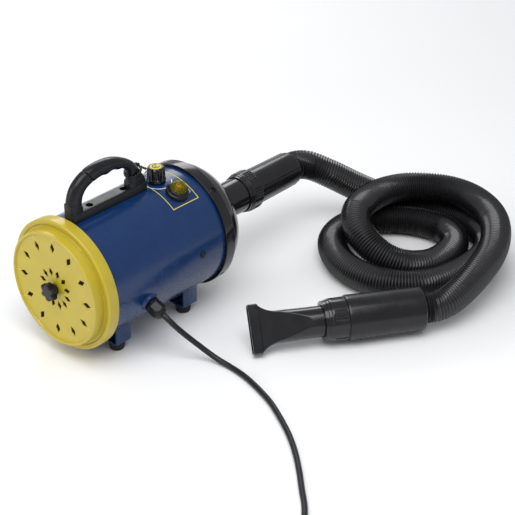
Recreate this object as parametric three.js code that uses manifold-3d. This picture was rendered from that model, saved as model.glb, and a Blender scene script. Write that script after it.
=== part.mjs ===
// A forced-air pet dryer: a blower in a painted metal tube with a washable intake filter, speed
// and power controls, a carrying handle, four rubber feet, a power cord, and a flexible hose that
// ends in a hand-held fan nozzle. Millimetres, +Z up, floor at z = 0. The blower's axis runs
// along X from the intake to the outlet. X is measured from the rear edge of the filter ring,
// and the whole group is moved at the end so that the origin is under the middle of the body.

import * as THREE from "three";
import { mergeVertices } from "three/addons/utils/BufferGeometryUtils.js";
import Module from "manifold-3d";

const wasm = await Module();
wasm.setup();

// ---------------------------------------------------------------- driving dimensions
const AXIS_HEIGHT = 105.25;
const BODY_MIDDLE = 154;
const GAP = 0.3;

const TUBE = { radius: 88, wall: 1.5, front: -12.5, rear: 223 };
const COVER = { radius: 95.15, ringFront: -16.7, drum: 83.5, front: -31.6, face: -28.6, wall: 2 };
const GRILLE = [
  { count: 12, radius: 62.8, turn: 0, length: 14.5, width: 7.6 },
  { count: 12, radius: 24.7, turn: 15, length: 13, width: 7 },
];
const REAR = { rim: 92.5, rimFront: 210, rimRear: 227.5, spout: 26.5, spoutWall: 2.5, spoutEnd: 352 };
const COVER_SCREWS = { x: 219, firstAngle: 38 };
const SHAFT_RADIUS = 4;
const KNOB = { x: 165, skirt: 14, radius: 12, top: 110.5 };
const SWITCH = { x: 170, angle: 23.8, flange: 16.5, step: 13.5, bore: 10.3 };
const HANDLE = { width: 18.4, front: 1.3, rear: 141.5, baseTop: 205.8, screws: [40.6, 102.6] };
const GLAND = { x: 66, angle: 110, boss: 13, bossTop: 92, nutEnd: 116 };
const PLUG_HOLE = { x: 165.9, angle: 88, radius: 5 };
const FEET = { x: [35.8, 165.5], y: 46, long: 27, wide: 30, plateZ: 14, sheet: 2, rubber: 11.75 };
const HOSE_RADIUS = 22.4;
const HOSE_BORE = 20.4;
const CUFF = { start: 356, end: 446, ringStart: 329 };
const HAND = { x: 357.9, y: -325.9, z: 32.8, heading: [-0.825, 0.565, 0] };
const MOUTH = { wide: 71, thick: 14.5, tilt: -38, end: 246.5 };
const CORD_RADIUS = 4;
const COIL = { x: -102, y: -580, inner: 33.8, outer: 58.3, height: 22.2 };

const X_AXIS = new THREE.Vector3(1, 0, 0);
const Y_AXIS = new THREE.Vector3(0, 1, 0);
const Z_AXIS = new THREE.Vector3(0, 0, 1);
const AXIS = new THREE.Vector3(0, 0, AXIS_HEIGHT);
const FINE = 36;
const ROUND = 24;
const SMALL = 10;

// ---------------------------------------------------------------- finishes
const finish = (color, roughness, metalness) =>
  new THREE.MeshStandardMaterial({ color, roughness, metalness });
const BLUE_PAINT = finish(0x1c3c64, 0.28, 0.25);
const YELLOW_PLASTIC = finish(0xdccf55, 0.4, 0);
const BLACK_GLOSS = finish(0x2a2a2f, 0.3, 0);
const BLACK_MATTE = finish(0x25252a, 0.6, 0);
const RUBBER = finish(0x1d1d1f, 0.85, 0);
const FOAM = finish(0x1a1a1a, 0.95, 0);
const STEEL = finish(0xb9bcc0, 0.35, 1);
const CAST_ALLOY = finish(0xa5a8ab, 0.5, 0.9);
const SHEET_ALLOY = finish(0xc4c6c8, 0.4, 0.9);
const COPPER = finish(0xb56a35, 0.4, 0.9);
const LAMINATION = finish(0x5b5d61, 0.55, 0.8);
const AMBER_LENS = finish(0x7e7a20, 0.2, 0);
const ORANGE_PLASTIC = finish(0xe08a1c, 0.4, 0);
const GREEN_BOARD = finish(0x2c5a35, 0.5, 0);

// ---------------------------------------------------------------- solids
/** Triangles with three different corners, as one list of vertex numbers. */
function wholeTriangles(index) {
  const kept = [];
  for (let i = 0; i < index.length; i += 3) {
    const [a, b, c] = [index[i], index[i + 1], index[i + 2]];
    if (a !== b && b !== c && c !== a) kept.push(a, b, c);
  }
  return new Uint32Array(kept);
}

/** Six times the volume inside a closed mesh: negative when its faces point inwards. */
function signedVolume(points, index) {
  const corner = (i) => new THREE.Vector3().fromArray(points, 3 * index[i]);
  let sum = 0;
  for (let i = 0; i < index.length; i += 3) {
    sum += corner(i).dot(corner(i + 1).cross(corner(i + 2)));
  }
  return sum;
}

/** Makes a solid that can be joined and cut from any closed three.js geometry. */
function solidOf(geometry) {
  const bare = geometry.clone();
  bare.deleteAttribute("normal");
  bare.deleteAttribute("uv");
  const merged = mergeVertices(bare, 1e-4);
  const vertProperties = new Float32Array(merged.getAttribute("position").array);
  const triVerts = wholeTriangles(merged.getIndex().array);
  if (signedVolume(vertProperties, triVerts) < 0) triVerts.reverse();
  return new wasm.Manifold(new wasm.Mesh({ numProp: 3, vertProperties, triVerts }));
}

const joined = (...solids) => solids.reduce((whole, next) => whole.add(next));
const cut = (solid, ...tools) => tools.reduce((left, tool) => left.subtract(tool), solid);

/** A solid of revolution. Each profile point is [distance along the axis, radius]. */
function turned(profile, segments = ROUND, origin = AXIS, direction = X_AXIS) {
  const points = profile.map(([along, radius]) => new THREE.Vector2(radius, along));
  const geometry = new THREE.LatheGeometry(points, segments);
  geometry.applyQuaternion(new THREE.Quaternion().setFromUnitVectors(Y_AXIS, direction));
  geometry.translate(origin.x, origin.y, origin.z);
  return solidOf(geometry);
}

/** A plain ring or, with no inner radius, a disc. */
function ring(from, to, outer, inner = 0, segments = ROUND, origin = AXIS, direction = X_AXIS) {
  const profile = [[from, inner], [from, outer], [to, outer], [to, inner]];
  if (inner > 0) profile.push([from, inner]);
  return turned(profile, segments, origin, direction);
}

/** A straight round bar from one point to another. */
function rod(from, to, radius, segments = SMALL) {
  const along = to.clone().sub(from);
  return ring(0, along.length(), radius, 0, segments, from, along.normalize());
}

function block(x0, x1, y0, y1, z0, z1) {
  const geometry = new THREE.BoxGeometry(x1 - x0, y1 - y0, z1 - z0);
  geometry.translate((x0 + x1) / 2, (y0 + y1) / 2, (z0 + z1) / 2);
  return solidOf(geometry);
}

/** The outward direction at an angle from straight up, turning towards -Y. */
function outward(degrees) {
  const angle = THREE.MathUtils.degToRad(degrees);
  return new THREE.Vector3(0, -Math.sin(angle), Math.cos(angle));
}

/** The point at a distance from the blower's axis, at x and at an angle from straight up. */
function around(x, degrees, distance) {
  return outward(degrees).multiplyScalar(distance).add(new THREE.Vector3(x, 0, AXIS_HEIGHT));
}

const radialRod = (x, degrees, from, to, radius, segments) =>
  rod(around(x, degrees, from), around(x, degrees, to), radius, segments);

/** A solid turned about a line that stands square on the tube. */
const radialTurned = (profile, x, degrees, segments = 20) =>
  turned(profile, segments, around(x, degrees, 0), outward(degrees));

/** An outline of [x, z] points, pushed out evenly to both sides of the XZ plane. */
function slab(outline, width) {
  const shape = new THREE.Shape(outline.map(([x, z]) => new THREE.Vector2(x, z)));
  const geometry = new THREE.ExtrudeGeometry(shape, { depth: width, bevelEnabled: false });
  geometry.translate(0, 0, -width / 2);
  geometry.rotateX(Math.PI / 2);
  return solidOf(geometry);
}

/** An outline of [y, z] points, pushed out along X. */
function rail(outline, from, to) {
  const shape = new THREE.Shape(outline.map(([y, z]) => new THREE.Vector2(y, z)));
  const geometry = new THREE.ExtrudeGeometry(shape, { depth: to - from, bevelEnabled: false });
  const turn = new THREE.Matrix4().makeBasis(Y_AXIS, Z_AXIS, X_AXIS);
  geometry.applyMatrix4(turn);
  geometry.translate(from, 0, 0);
  return solidOf(geometry);
}

/** The outline of a wheel whose edge waves between two radii. */
function wavyOutline(radius, depth, lobes, pointsPerLobe) {
  const count = lobes * pointsPerLobe;
  return Array.from({ length: count }, (_, i) => {
    const angle = (2 * Math.PI * i) / count;
    const reach = radius - (depth * (1 - Math.cos(lobes * angle))) / 2;
    return new THREE.Vector2(reach * Math.cos(angle), reach * Math.sin(angle));
  });
}

/** A wavy wheel from one distance to another along a direction. */
function wavyWheel(outline, from, to, origin, direction) {
  const options = { depth: to - from, bevelEnabled: false };
  const geometry = new THREE.ExtrudeGeometry(new THREE.Shape(outline), options);
  geometry.translate(0, 0, from);
  geometry.applyQuaternion(new THREE.Quaternion().setFromUnitVectors(Z_AXIS, direction));
  geometry.translate(origin.x, origin.y, origin.z);
  return solidOf(geometry);
}

/** A round tube or cable along a smooth curve through points. */
function cable(points, radius, sides, steps, bore = 0) {
  const places = points.map((p) => new THREE.Vector3(...p));
  const path = new THREE.CatmullRomCurve3(places, false, "centripetal");
  const section = new THREE.Shape(wavyOutline(radius, 0, 1, sides));
  if (bore > 0) section.holes.push(new THREE.Path(wavyOutline(bore, 0, 1, sides)));
  const options = { steps, extrudePath: path, bevelEnabled: false };
  return solidOf(new THREE.ExtrudeGeometry(section, options));
}

/** A smooth line through points of a plane, as a list of points. */
function spline(points, steps) {
  const curve = new THREE.SplineCurve(points.map(([x, z]) => new THREE.Vector2(x, z)));
  return curve.getPoints(steps).map((p) => [p.x, p.y]);
}

/** Everything inside the tube's outer face, with clearance: it shapes what saddles on the tube. */
const tubeEnvelope = ring(-60, 400, TUBE.radius + GAP, 0, FINE);

const dryer = new THREE.Group();

/** Adds one named sub-part. */
function add(name, solid, material) {
  const { vertProperties, triVerts } = solid.getMesh();
  const geometry = new THREE.BufferGeometry();
  geometry.setAttribute("position", new THREE.BufferAttribute(new Float32Array(vertProperties), 3));
  geometry.setIndex(new THREE.BufferAttribute(new Uint32Array(triVerts), 1));
  geometry.computeVertexNormals();
  const mesh = new THREE.Mesh(geometry, material);
  mesh.name = name;
  dryer.add(mesh);
}

// ---------------------------------------------------------------- tube and intake
/** Angles of the four screws that hold the rear cover. */
const coverScrewAngles = [0, 1, 2, 3].map((i) => COVER_SCREWS.firstAngle + 90 * i);

function bodyTube() {
  const inner = TUBE.radius - TUBE.wall;
  const shell = ring(TUBE.front, TUBE.rear, TUBE.radius, inner, FINE);
  const boss = radialTurned([
    [inner + 0.5, 0], [inner + 0.5, GLAND.boss + 1.5], [GLAND.bossTop - 1, GLAND.boss],
    [GLAND.bossTop, GLAND.boss - 2], [GLAND.bossTop, 0],
  ], GLAND.x, GLAND.angle);
  const hole = (x, angle, radius) => radialRod(x, angle, 75, 100, radius, 16);
  return cut(
    joined(shell, boss),
    hole(KNOB.x, 0, 5),
    hole(SWITCH.x, SWITCH.angle, SWITCH.flange - 3),
    hole(GLAND.x, GLAND.angle, 8),
    hole(PLUG_HOLE.x, PLUG_HOLE.angle, 3.6),
    ...HANDLE.screws.map((x) => hole(x, 0, 2.3)),
    ...coverScrewAngles.map((angle) => hole(COVER_SCREWS.x, angle, 2)),
  );
}

/** One long diamond hole through the face of the filter cover. */
function diamondHole({ radius, length, width }, degrees) {
  const corners = [[length / 2, 0], [0, width / 2], [-length / 2, 0], [0, -width / 2]];
  const outline = corners.map(([out, side]) => new THREE.Vector2(out, side));
  const options = { depth: 20, bevelEnabled: false };
  const geometry = new THREE.ExtrudeGeometry(new THREE.Shape(outline), options);
  geometry.applyMatrix4(new THREE.Matrix4().makeBasis(Z_AXIS, Y_AXIS.clone().negate(), X_AXIS));
  geometry.translate(COVER.face - 10, 0, radius);
  geometry.rotateX(THREE.MathUtils.degToRad(degrees));
  geometry.translate(0, 0, AXIS_HEIGHT);
  return solidOf(geometry);
}

function filterCover() {
  const { radius, ringFront, drum, front, face, wall } = COVER;
  const shell = turned([
    [face, 0], [face, drum - 4.7], [front, drum - 3.3], [front, drum - 1.2], [front + 1.2, drum],
    [ringFront + 1.5, drum], [ringFront + 1.5, drum + 4.2],
    [ringFront, drum + 5.2], [ringFront, radius - 1.2], [ringFront + 1.2, radius],
    [0, radius], [0, TUBE.radius + 0.4], [TUBE.front - GAP, TUBE.radius + 0.4],
    [TUBE.front - GAP, drum - wall], [face + wall, drum - wall], [face + wall, 0],
  ], FINE);
  const holes = GRILLE.flatMap((row) =>
    Array.from({ length: row.count }, (_, i) => diamondHole(row, row.turn + (360 * i) / row.count)));
  return cut(shell, ...holes, ring(face - 5, face + 5, 3.6, 0, SMALL));
}

const filterFoam = () =>
  ring(COVER.face + COVER.wall + 0.4, -11.2, 80.8, 4, ROUND);

function coverKnob() {
  const head = wavyWheel(wavyOutline(14.6, 3.2, 6, 8), -44, -34, AXIS, X_AXIS);
  const neck = ring(-34.5, COVER.face - GAP, 8, 0, ROUND);
  return cut(joined(head, neck), ring(-41, -20, 3.4, 0, SMALL));
}

/** A ring with three arms that carries the stud on which the knob is screwed. */
function intakeBracket() {
  const arms = [90, 210, 330].map((angle) => radialRod(-3.5, angle, 5, 83, 3, 8));
  return joined(
    ring(-8, 0, 85.8, 81, ROUND),
    ring(-8, -1, 9, 0, SMALL),
    ring(-40, -4, 3, 0, SMALL),
    ...arms,
  );
}

const acousticLiner = () => ring(2, 36, 86, 77, ROUND);

// ---------------------------------------------------------------- blower
const BULKHEAD_X = 76;
const FAN = { front: 84.3, rear: 112, radius: 70, eye: 22, sheet: 1.5 };
const WHEEL = { front: 90, rear: 104, radius: 61, disc: 1.2, blades: 7, sweep: 0.9, blade: 1.4 };
const MOTOR = { post: 50, postEnd: 186, bracket: 190, statorStart: 124, statorEnd: 162 };

function motorPlate() {
  const plate = turned([
    [BULKHEAD_X, 24], [BULKHEAD_X, 85.8], [BULKHEAD_X + 11, 85.8], [BULKHEAD_X + 11, 84.7],
    [BULKHEAD_X + 3, 84.7], [BULKHEAD_X + 3, 24], [BULKHEAD_X, 24],
  ]);
  const wirePass = around(BULKHEAD_X, 95, 80);
  return cut(plate, ring(-5, 16, 5.5, 0, SMALL, wirePass));
}

const motorGasket = () => ring(BULKHEAD_X + 3.3, FAN.front - GAP, 68, 55, ROUND);

/** The pressed casing around the impeller, open at its eye and at the back. */
function fanHousing() {
  const { front, rear, radius, eye, sheet } = FAN;
  return turned([
    [front, eye], [front, radius - 2], [front + 2, radius], [rear, radius], [rear, radius - sheet],
    [front + 2 * sheet, radius - sheet], [front + sheet, radius - sheet - 2], [front + sheet, eye],
    [front, eye],
  ]);
}

/** One backward-curved fan blade between the two discs of the impeller. */
function impellerBlade(index) {
  const { front, rear, disc, blades, sweep, blade, radius } = WHEEL;
  const [root, tip] = [FAN.eye + 1, radius - 2];
  const points = [0, 0.25, 0.5, 0.75, 1].map((t) => {
    const angle = (2 * Math.PI * index) / blades + sweep * t;
    const reach = root + (tip - root) * t;
    return new THREE.Vector2(reach * Math.cos(angle), reach * Math.sin(angle));
  });
  const centre = new THREE.Vector2();
  const back = points.map((p) => p.clone().rotateAround(centre, blade / p.length()));
  const shape = new THREE.Shape([...points, ...back.reverse()]);
  const depth = rear - front - disc;
  const geometry = new THREE.ExtrudeGeometry(shape, { depth, bevelEnabled: false });
  geometry.applyMatrix4(new THREE.Matrix4().makeBasis(Y_AXIS, Z_AXIS, X_AXIS));
  geometry.translate(front + disc / 2, 0, AXIS_HEIGHT);
  return solidOf(geometry);
}

/** Two discs with blades between them, on a hub. */
function impeller() {
  const { front, rear, radius, disc, blades } = WHEEL;
  return cut(
    joined(
      ring(front, front + disc, radius, FAN.eye, ROUND),
      ring(rear - disc, rear, radius, 0, ROUND),
      ring(front - 2, rear + 2, 10, 0, SMALL),
      ...Array.from({ length: blades }, (_, i) => impellerBlade(i)),
    ),
    ring(80, 110, SHAFT_RADIUS + GAP, 0, SMALL),
  );
}

const motorShaft = () => ring(86, 200, SHAFT_RADIUS, 0, SMALL);

/** A core with twelve winding slots. */
function armature() {
  const core = wavyWheel(wavyOutline(21.5, 2.4, 12, 4), 126, 160, AXIS, X_AXIS);
  const windings = [[121, 126.5], [159.5, 165]].map(([from, to]) => ring(from, to, 17, 0, ROUND));
  return cut(joined(core, ...windings), ring(115, 170, SHAFT_RADIUS + GAP, 0, SMALL));
}

const commutator = () => ring(166, 182, 11, SHAFT_RADIUS + GAP, 20);

/** A laminated ring with two flats, and the ends of the field windings. */
function stator() {
  const { statorStart: from, statorEnd: to } = MOTOR;
  const flats = block(from - 1, to + 1, -36, 36, 0, 250);
  const laminations = ring(from, to, 43, 23, ROUND).intersect(flats);
  const ends = [[from - 6, from + 0.5], [to - 0.5, to + 6]];
  const windings = ends.map(([a, b]) => ring(a, b, 33, 25, ROUND));
  return joined(laminations, ...windings);
}

/** The cast plate behind the fan, with the front bearing's seat and four long posts. */
function motorFrame() {
  const front = FAN.rear + GAP;
  const disc = ring(front, front + 2.5, FAN.radius, 0, ROUND);
  const plate = joined(disc, ring(front, front + 8, 14, 0, 20));
  const windows = [0, 60, 120, 180, 240, 300].map((angle) =>
    ring(-3, 6, 9, 0, SMALL, around(front, angle, 30)));
  const posts = [45, 135, 225, 315].map((angle) =>
    rod(around(front + 1, angle, MOTOR.post), around(MOTOR.postEnd, angle, MOTOR.post), 4, 8));
  return cut(joined(plate, ...posts), ...windows, ring(front - 1, front + 9, 11.3, 0, 20));
}

/** The rear cross that carries the rear bearing. */
function endBracket() {
  const at = MOTOR.bracket;
  const arms = [45, 135, 225, 315].map((angle) => radialRod(at + 2, angle, 8, 55, 3, 8));
  const pads = [45, 135, 225, 315].map((angle) =>
    ring(-3.4, 3.6, 6.5, 0, SMALL, around(at, angle, MOTOR.post)));
  const hub = ring(at - 1, at + 9, 13, 0, 20);
  return cut(joined(hub, ...arms, ...pads), ring(at - 3, at + 12, 10.3, 0, 20));
}

const bearing = (from, to, radius) => ring(from, to, radius, SHAFT_RADIUS + GAP, 20);

/** A brass brush box that slides the carbon on to the commutator; side is 1 or -1. */
function brushHolder(side) {
  const [near, far] = [11.4, 33];
  const y = [side * near, side * far].sort((a, b) => a - b);
  const z = AXIS_HEIGHT;
  const lug = [side * (far - 6), side * far].sort((a, b) => a - b);
  return joined(
    block(169, 179, ...y, z - 4.5, z + 4.5),
    block(178, 188, ...lug, z - 4.5, z + 4.5),
  );
}

/** The rubber ring that holds the rear of the motor, with air holes around it. */
function motorMountRing() {
  const air = Array.from({ length: 8 }, (_, i) =>
    ring(-4, 15, 9.5, 0, SMALL, around(188, 45 * i, 71)));
  return cut(ring(188, 198, 86, 58, ROUND), ...air);
}

// ---------------------------------------------------------------- outlet end
function rearCover() {
  const { rim, rimFront, rimRear, spout, spoutWall, spoutEnd } = REAR;
  const shell = turned([
    [rimFront, rim], [rimRear - 1, rim], [rimRear, rim - 1], [rimRear, 88], [240, 84], [250, 77],
    [264, 61.5], [281, 36], [288, spout], [spoutEnd, spout], [spoutEnd, spout - spoutWall],
    [286, spout - spoutWall], [262, 59], [248, 74.5], [238, 81.3], [TUBE.rear + GAP, 85],
    [TUBE.rear + GAP, TUBE.radius + GAP], [rimFront, TUBE.radius + GAP], [rimFront, rim],
  ], FINE);
  const recesses = coverScrewAngles.map((a) => radialRod(COVER_SCREWS.x, a, 90.4, 100, 4.2));
  const shanks = coverScrewAngles.map((a) => radialRod(COVER_SCREWS.x, a, 80, 95, 2));
  return cut(shell, ...recesses, ...shanks);
}

function coverScrew(angle) {
  return joined(
    radialRod(COVER_SCREWS.x, angle, 83, 91, 1.7, 12),
    radialRod(COVER_SCREWS.x, angle, 90.7, 92.2, 3.7, 16),
  );
}

/** The hose's collar, pushed over the spout. */
const outletRing = () => turned([
  [CUFF.ringStart, REAR.spout + GAP], [CUFF.ringStart, 28.2], [334, 28.2], [334, 29.2],
  [337, 29.2], [337, 30], [CUFF.start - GAP, 30], [CUFF.start - GAP, REAR.spout + GAP],
  [CUFF.ringStart, REAR.spout + GAP],
]);

const bodyCuff = () => turned([
  [CUFF.start, 20], [CUFF.start, 26.4], [CUFF.start + 2, 26.4], [CUFF.end - 2, 25.4],
  [CUFF.end, 24.6], [CUFF.end, 20], [CUFF.start, 20],
]);

// ---------------------------------------------------------------- controls
/** The stepped round boot that seals the switch to the tube. */
function switchBezel() {
  const { x, angle, flange, step, bore } = SWITCH;
  const boot = radialTurned(
    [[82, 0], [82, flange], [92, flange], [93, flange - 1], [93, step + 0.6], [94, step],
      [96.8, step], [97.5, step - 0.8], [97.5, 0]], x, angle);
  const neck = radialRod(x, angle, 84, 90, step - 0.8, 20);
  return cut(joined(cut(boot, tubeEnvelope), neck), radialRod(x, angle, 75, 100, bore, 20));
}

const lensCrown = (radius, base, top, steps) =>
  Array.from({ length: steps + 1 }, (_, i) => {
    const angle = (Math.PI / 2) * (i / steps);
    return [base + (top - base) * Math.sin(angle), radius * Math.cos(angle)];
  });

/** The clear domed cap over the rocker. */
function switchLens() {
  const [base, top, wall] = [99.2, 108, 1];
  const outer = lensCrown(10.4, base, top, 4).slice(0, -1);
  const inner = lensCrown(9.4, base, top - wall, 4).reverse().slice(1);
  return radialTurned([
    [97.8, 9.4], [97.8, 11.8], [base, 11.8], ...outer, [top, 0], [top - wall, 0], ...inner,
    [97.8, 9.4],
  ], SWITCH.x, SWITCH.angle);
}

/** The rocker, tipped 7 degrees to its off side about a pin that runs around the tube. */
function switchRocker() {
  const outline = [[-6, -2.5], [6, -2.5], [5, 4.5], [3.4, 6.5], [0, 5.8], [-3.4, 6.5], [-5, 4.5]];
  const shape = new THREE.Shape(outline.map(([x, z]) => new THREE.Vector2(x, z)));
  const geometry = new THREE.ExtrudeGeometry(shape, { depth: 7, bevelEnabled: false });
  geometry.translate(0, 0, -3.5);
  geometry.rotateX(Math.PI / 2);
  geometry.rotateY(THREE.MathUtils.degToRad(-7));
  geometry.translate(0, 0, 97);
  geometry.rotateX(THREE.MathUtils.degToRad(SWITCH.angle));
  geometry.translate(SWITCH.x, 0, AXIS_HEIGHT);
  return solidOf(geometry);
}

/** The switch's body, from inside the tube up to the rocker. */
function switchBody() {
  const { x, angle, bore } = SWITCH;
  const base = new THREE.BoxGeometry(27, 15, 22);
  base.translate(0, 0, 71);
  base.rotateX(THREE.MathUtils.degToRad(angle));
  base.translate(x, 0, AXIS_HEIGHT);
  return joined(solidOf(base), radialRod(x, angle, 81, 93, bore - 0.5, 20));
}

/** A ribbed knob with a skirt and a shallow seat for its insert. */
function speedKnob() {
  const base = new THREE.Vector3(KNOB.x, 0, AXIS_HEIGHT);
  const skirt = turned([
    [88.6, 0], [88.6, KNOB.skirt], [91, KNOB.skirt], [93.5, KNOB.radius], [93.5, 0],
  ], ROUND, base, Z_AXIS);
  const grip = wavyWheel(wavyOutline(KNOB.radius, 1.4, 14, 4), 93, KNOB.top, base, Z_AXIS);
  return cut(
    joined(skirt, grip),
    ring(80, 104, 3.3, 0, SMALL, base, Z_AXIS),
    ring(109, 120, 8.4, 0, 20, base, Z_AXIS),
  );
}

/** The flat disc in the top of the knob. */
function knobInsert() {
  const base = new THREE.Vector3(KNOB.x, 0, AXIS_HEIGHT);
  return turned([[109.3, 0], [109.3, 8], [110.6, 8], [111, 7], [111.1, 0]], 20, base, Z_AXIS);
}

/** The rotary control under the knob, with its threaded neck and shaft. */
function speedControl() {
  const base = new THREE.Vector3(KNOB.x, 0, AXIS_HEIGHT);
  return joined(
    ring(66, 84.5, 10.5, 0, 20, base, Z_AXIS),
    ring(84, 88, 4.6, 0, SMALL, base, Z_AXIS),
    ring(87, 103, 3, 0, SMALL, base, Z_AXIS),
  );
}

/** The circuit board on the far side of the motor, with its heat sink and one capacitor. */
function controlBoard() {
  const parts = [
    [[146, 186], [-21, 21], [70, 71.6]],
    [[150, 176], [6, 9], [71, 81]],
    [[150, 176], [11, 14], [71, 81]],
    [[152, 164], [-16, -6], [71, 79]],
  ];
  const solids = parts.map(([[x0, x1], [y0, y1], [z0, z1]]) => {
    const box = new THREE.BoxGeometry(x1 - x0, y1 - y0, z1 - z0);
    box.translate((x0 + x1) / 2, (y0 + y1) / 2, (z0 + z1) / 2);
    box.rotateX(THREE.MathUtils.degToRad(-52));
    box.translate(0, 0, AXIS_HEIGHT);
    return solidOf(box);
  });
  return joined(...solids);
}

/** The bundle of wires from the gland, along the wall, to the switch. */
function wiringLoom() {
  const route = [
    [67, 108, 77], [72, 98, 79], [77, 95, 80], [84, 93, 80], [112, 68, 80], [136, 47, 79],
    [152, 35, 73],
  ];
  return cable(route.map(([x, angle, reach]) => around(x, angle, reach).toArray()), 2.6, 8, 24);
}

const holePlug = () => radialTurned([
  [84, 0], [84, 3.3], [88.2, 3.3], [88.2, PLUG_HOLE.radius], [89.2, PLUG_HOLE.radius],
  [90, 3.8], [90, 0],
], PLUG_HOLE.x, PLUG_HOLE.angle, 16);

// ---------------------------------------------------------------- handle
const HANDLE_OUTER = [
  [1.3, 204], [1.7, 221.5], [9.1, 241], [24.2, 254.4], [46.1, 262.3], [73.1, 262.9],
  [94.6, 257.3], [117.9, 243.9], [130.2, 228.4], [139, 210], [140.5, 201],
];
const HANDLE_INNER = [
  [24.7, 201], [24.7, 215.2], [27.3, 226.2], [35.1, 235.2], [53.5, 241.5], [68.2, 243.2],
  [90.1, 242.6], [106, 235], [111.5, 222], [109.5, 212], [108, 201],
];
/** The part of the arch that is the soft grip: between the front and the rear seam. */
const GRIP_REGION = [
  [15, 256], [34, 233.5], [75, 215], [110.5, 229], [119, 247], [125, 262], [60, 285], [8, 268],
];

function handleArch() {
  const outline = [...spline(HANDLE_OUTER, 20), ...spline(HANDLE_INNER, 16).reverse()];
  return slab(outline, HANDLE.width);
}

/** The bar that is screwed down on the tube, with the two legs of the arch. */
function handleFrame() {
  const { front, rear, baseTop, width, screws } = HANDLE;
  const bar = block(front, rear, -width / 2, width / 2, AXIS_HEIGHT + 80, baseTop);
  const legs = cut(handleArch(), slab(GRIP_REGION, 40));
  const post = (x, from, to, radius) =>
    rod(new THREE.Vector3(x, 0, from), new THREE.Vector3(x, 0, to), radius);
  const seats = screws.map((x) => post(x, 200, 212, 5.2));
  const shanks = screws.map((x) => post(x, 180, 210, 2.3));
  return cut(joined(bar, legs), tubeEnvelope, ...seats, ...shanks);
}

function handleGrip() {
  const shrunk = GRIP_REGION.map(([x, z]) => [x + (x < 60 ? 0.35 : -0.35), z]);
  return handleArch().intersect(slab(shrunk, 40));
}

const handleScrew = (x) => joined(
  rod(new THREE.Vector3(x, 0, AXIS_HEIGHT + 81), new THREE.Vector3(x, 0, 201), 1.9, 12),
  rod(new THREE.Vector3(x, 0, 200.3), new THREE.Vector3(x, 0, 202.8), 4.4, 16),
);

// ---------------------------------------------------------------- feet
/** A folded sheet bracket: a channel open along X whose two walls meet the tube. */
function footBracket(x, side) {
  const { y, wide, plateZ, sheet, long } = FEET;
  const [inner, outer] = [y - wide / 2, y + wide / 2];
  const walls = [
    [inner, plateZ], [outer, plateZ], [outer, 60], [outer - sheet, 60], [outer - sheet, plateZ + sheet],
    [inner + sheet, plateZ + sheet], [inner + sheet, 40], [inner, 40],
  ].map(([across, up]) => [side * across, up]);
  const hole = rod(new THREE.Vector3(x, side * y, 10), new THREE.Vector3(x, side * y, 20), 2.4);
  return cut(rail(walls, x - long / 2, x + long / 2), tubeEnvelope, hole);
}

/** A tapered rubber foot with a recessed hole for its screw. */
function rubberFoot(x, side) {
  const { rubber, plateZ, y } = FEET;
  const base = new THREE.Vector3(x, side * y, 0);
  const top = plateZ - GAP;
  return turned([
    [4, 2.4], [4, 4.5], [0, 4.5], [0, rubber - 2.6], [1, rubber - 1.8], [top - 2, rubber],
    [top, rubber], [top, 2.4], [4, 2.4],
  ], 16, base, Z_AXIS);
}

// ---------------------------------------------------------------- power cord
function glandBody() {
  const { x, angle, bossTop } = GLAND;
  const outline = wavyOutline(12.7, 0, 6, 1);
  const hexagon = wavyWheel(outline, bossTop + GAP, 97, around(x, angle, 0), outward(angle));
  const thread = radialRod(x, angle, 80.6, 96, 7.6, 16);
  return cut(joined(hexagon, thread), radialRod(x, angle, 70, 100, CORD_RADIUS + GAP, SMALL));
}

const glandNut = () => radialTurned([
  [97.3, CORD_RADIUS + GAP], [97.3, 10.5], [109, 10.5], [114, 8], [GLAND.nutEnd, 6.4],
  [GLAND.nutEnd, CORD_RADIUS + GAP], [97.3, CORD_RADIUS + GAP],
], GLAND.x, GLAND.angle, 16);

const CORD_ROUTE = [
  [66, -109.34, 65.45], [66, -112.6, 64.26], [67.3, -117.6, 61.2], [70.6, -124.4, 54],
  [75.2, -130.7, 46.2], [80.6, -137.8, 37.8], [86.2, -145.6, 29.6], [92, -155, 21],
  [97.2, -166.5, 12.8], [101, -181, 6.6],
  [102.6, -197, 4.2], [99.3, -226.8, 4.2], [90.5, -260, 4.2], [78.9, -292.4, 4.2], [61.5, -326, 4.2],
  [42.3, -358, 4.2], [21, -387, 4.2], [-2.7, -414.4, 4.2], [-28, -441, 4.2], [-51, -465.5, 4.2],
  [-82, -492, 4.2], [-112.6, -518.1, 4.2],
];

const powerCord = () => cable(CORD_ROUTE, CORD_RADIUS, 8, 36);

const cordCoil = () => {
  const { x, y, inner, outer, height } = COIL;
  return turned([
    [0.2, inner + 3], [0.2, outer - 3], [3, outer], [height - 3, outer], [height, outer - 3],
    [height, inner + 3], [height - 3, inner], [3, inner], [0.2, inner + 3],
  ], ROUND, new THREE.Vector3(x, y, 0), Z_AXIS);
};

/** A moulded mains plug that lies beside the coil, with two round pins. */
function mainsPlug() {
  const heading = new THREE.Vector3(1, 0, 0);
  const base = new THREE.Vector3(COIL.x + 33, COIL.y - 54, 17.6);
  const body = turned([
    [0, 0], [0, 5.2], [6, 5.4], [24, 7.4], [27, 10], [33, 15.8], [40, 17.4], [58, 17.4],
    [60, 16], [60, 0],
  ], 20, base, heading);
  const pins = [-9.5, 9.5].map((across) => {
    const start = base.clone().add(new THREE.Vector3(58, across, 0));
    return rod(start, start.clone().add(new THREE.Vector3(21, 0, 0)), 2.4, 12);
  });
  return joined(body, ...pins);
}

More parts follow.
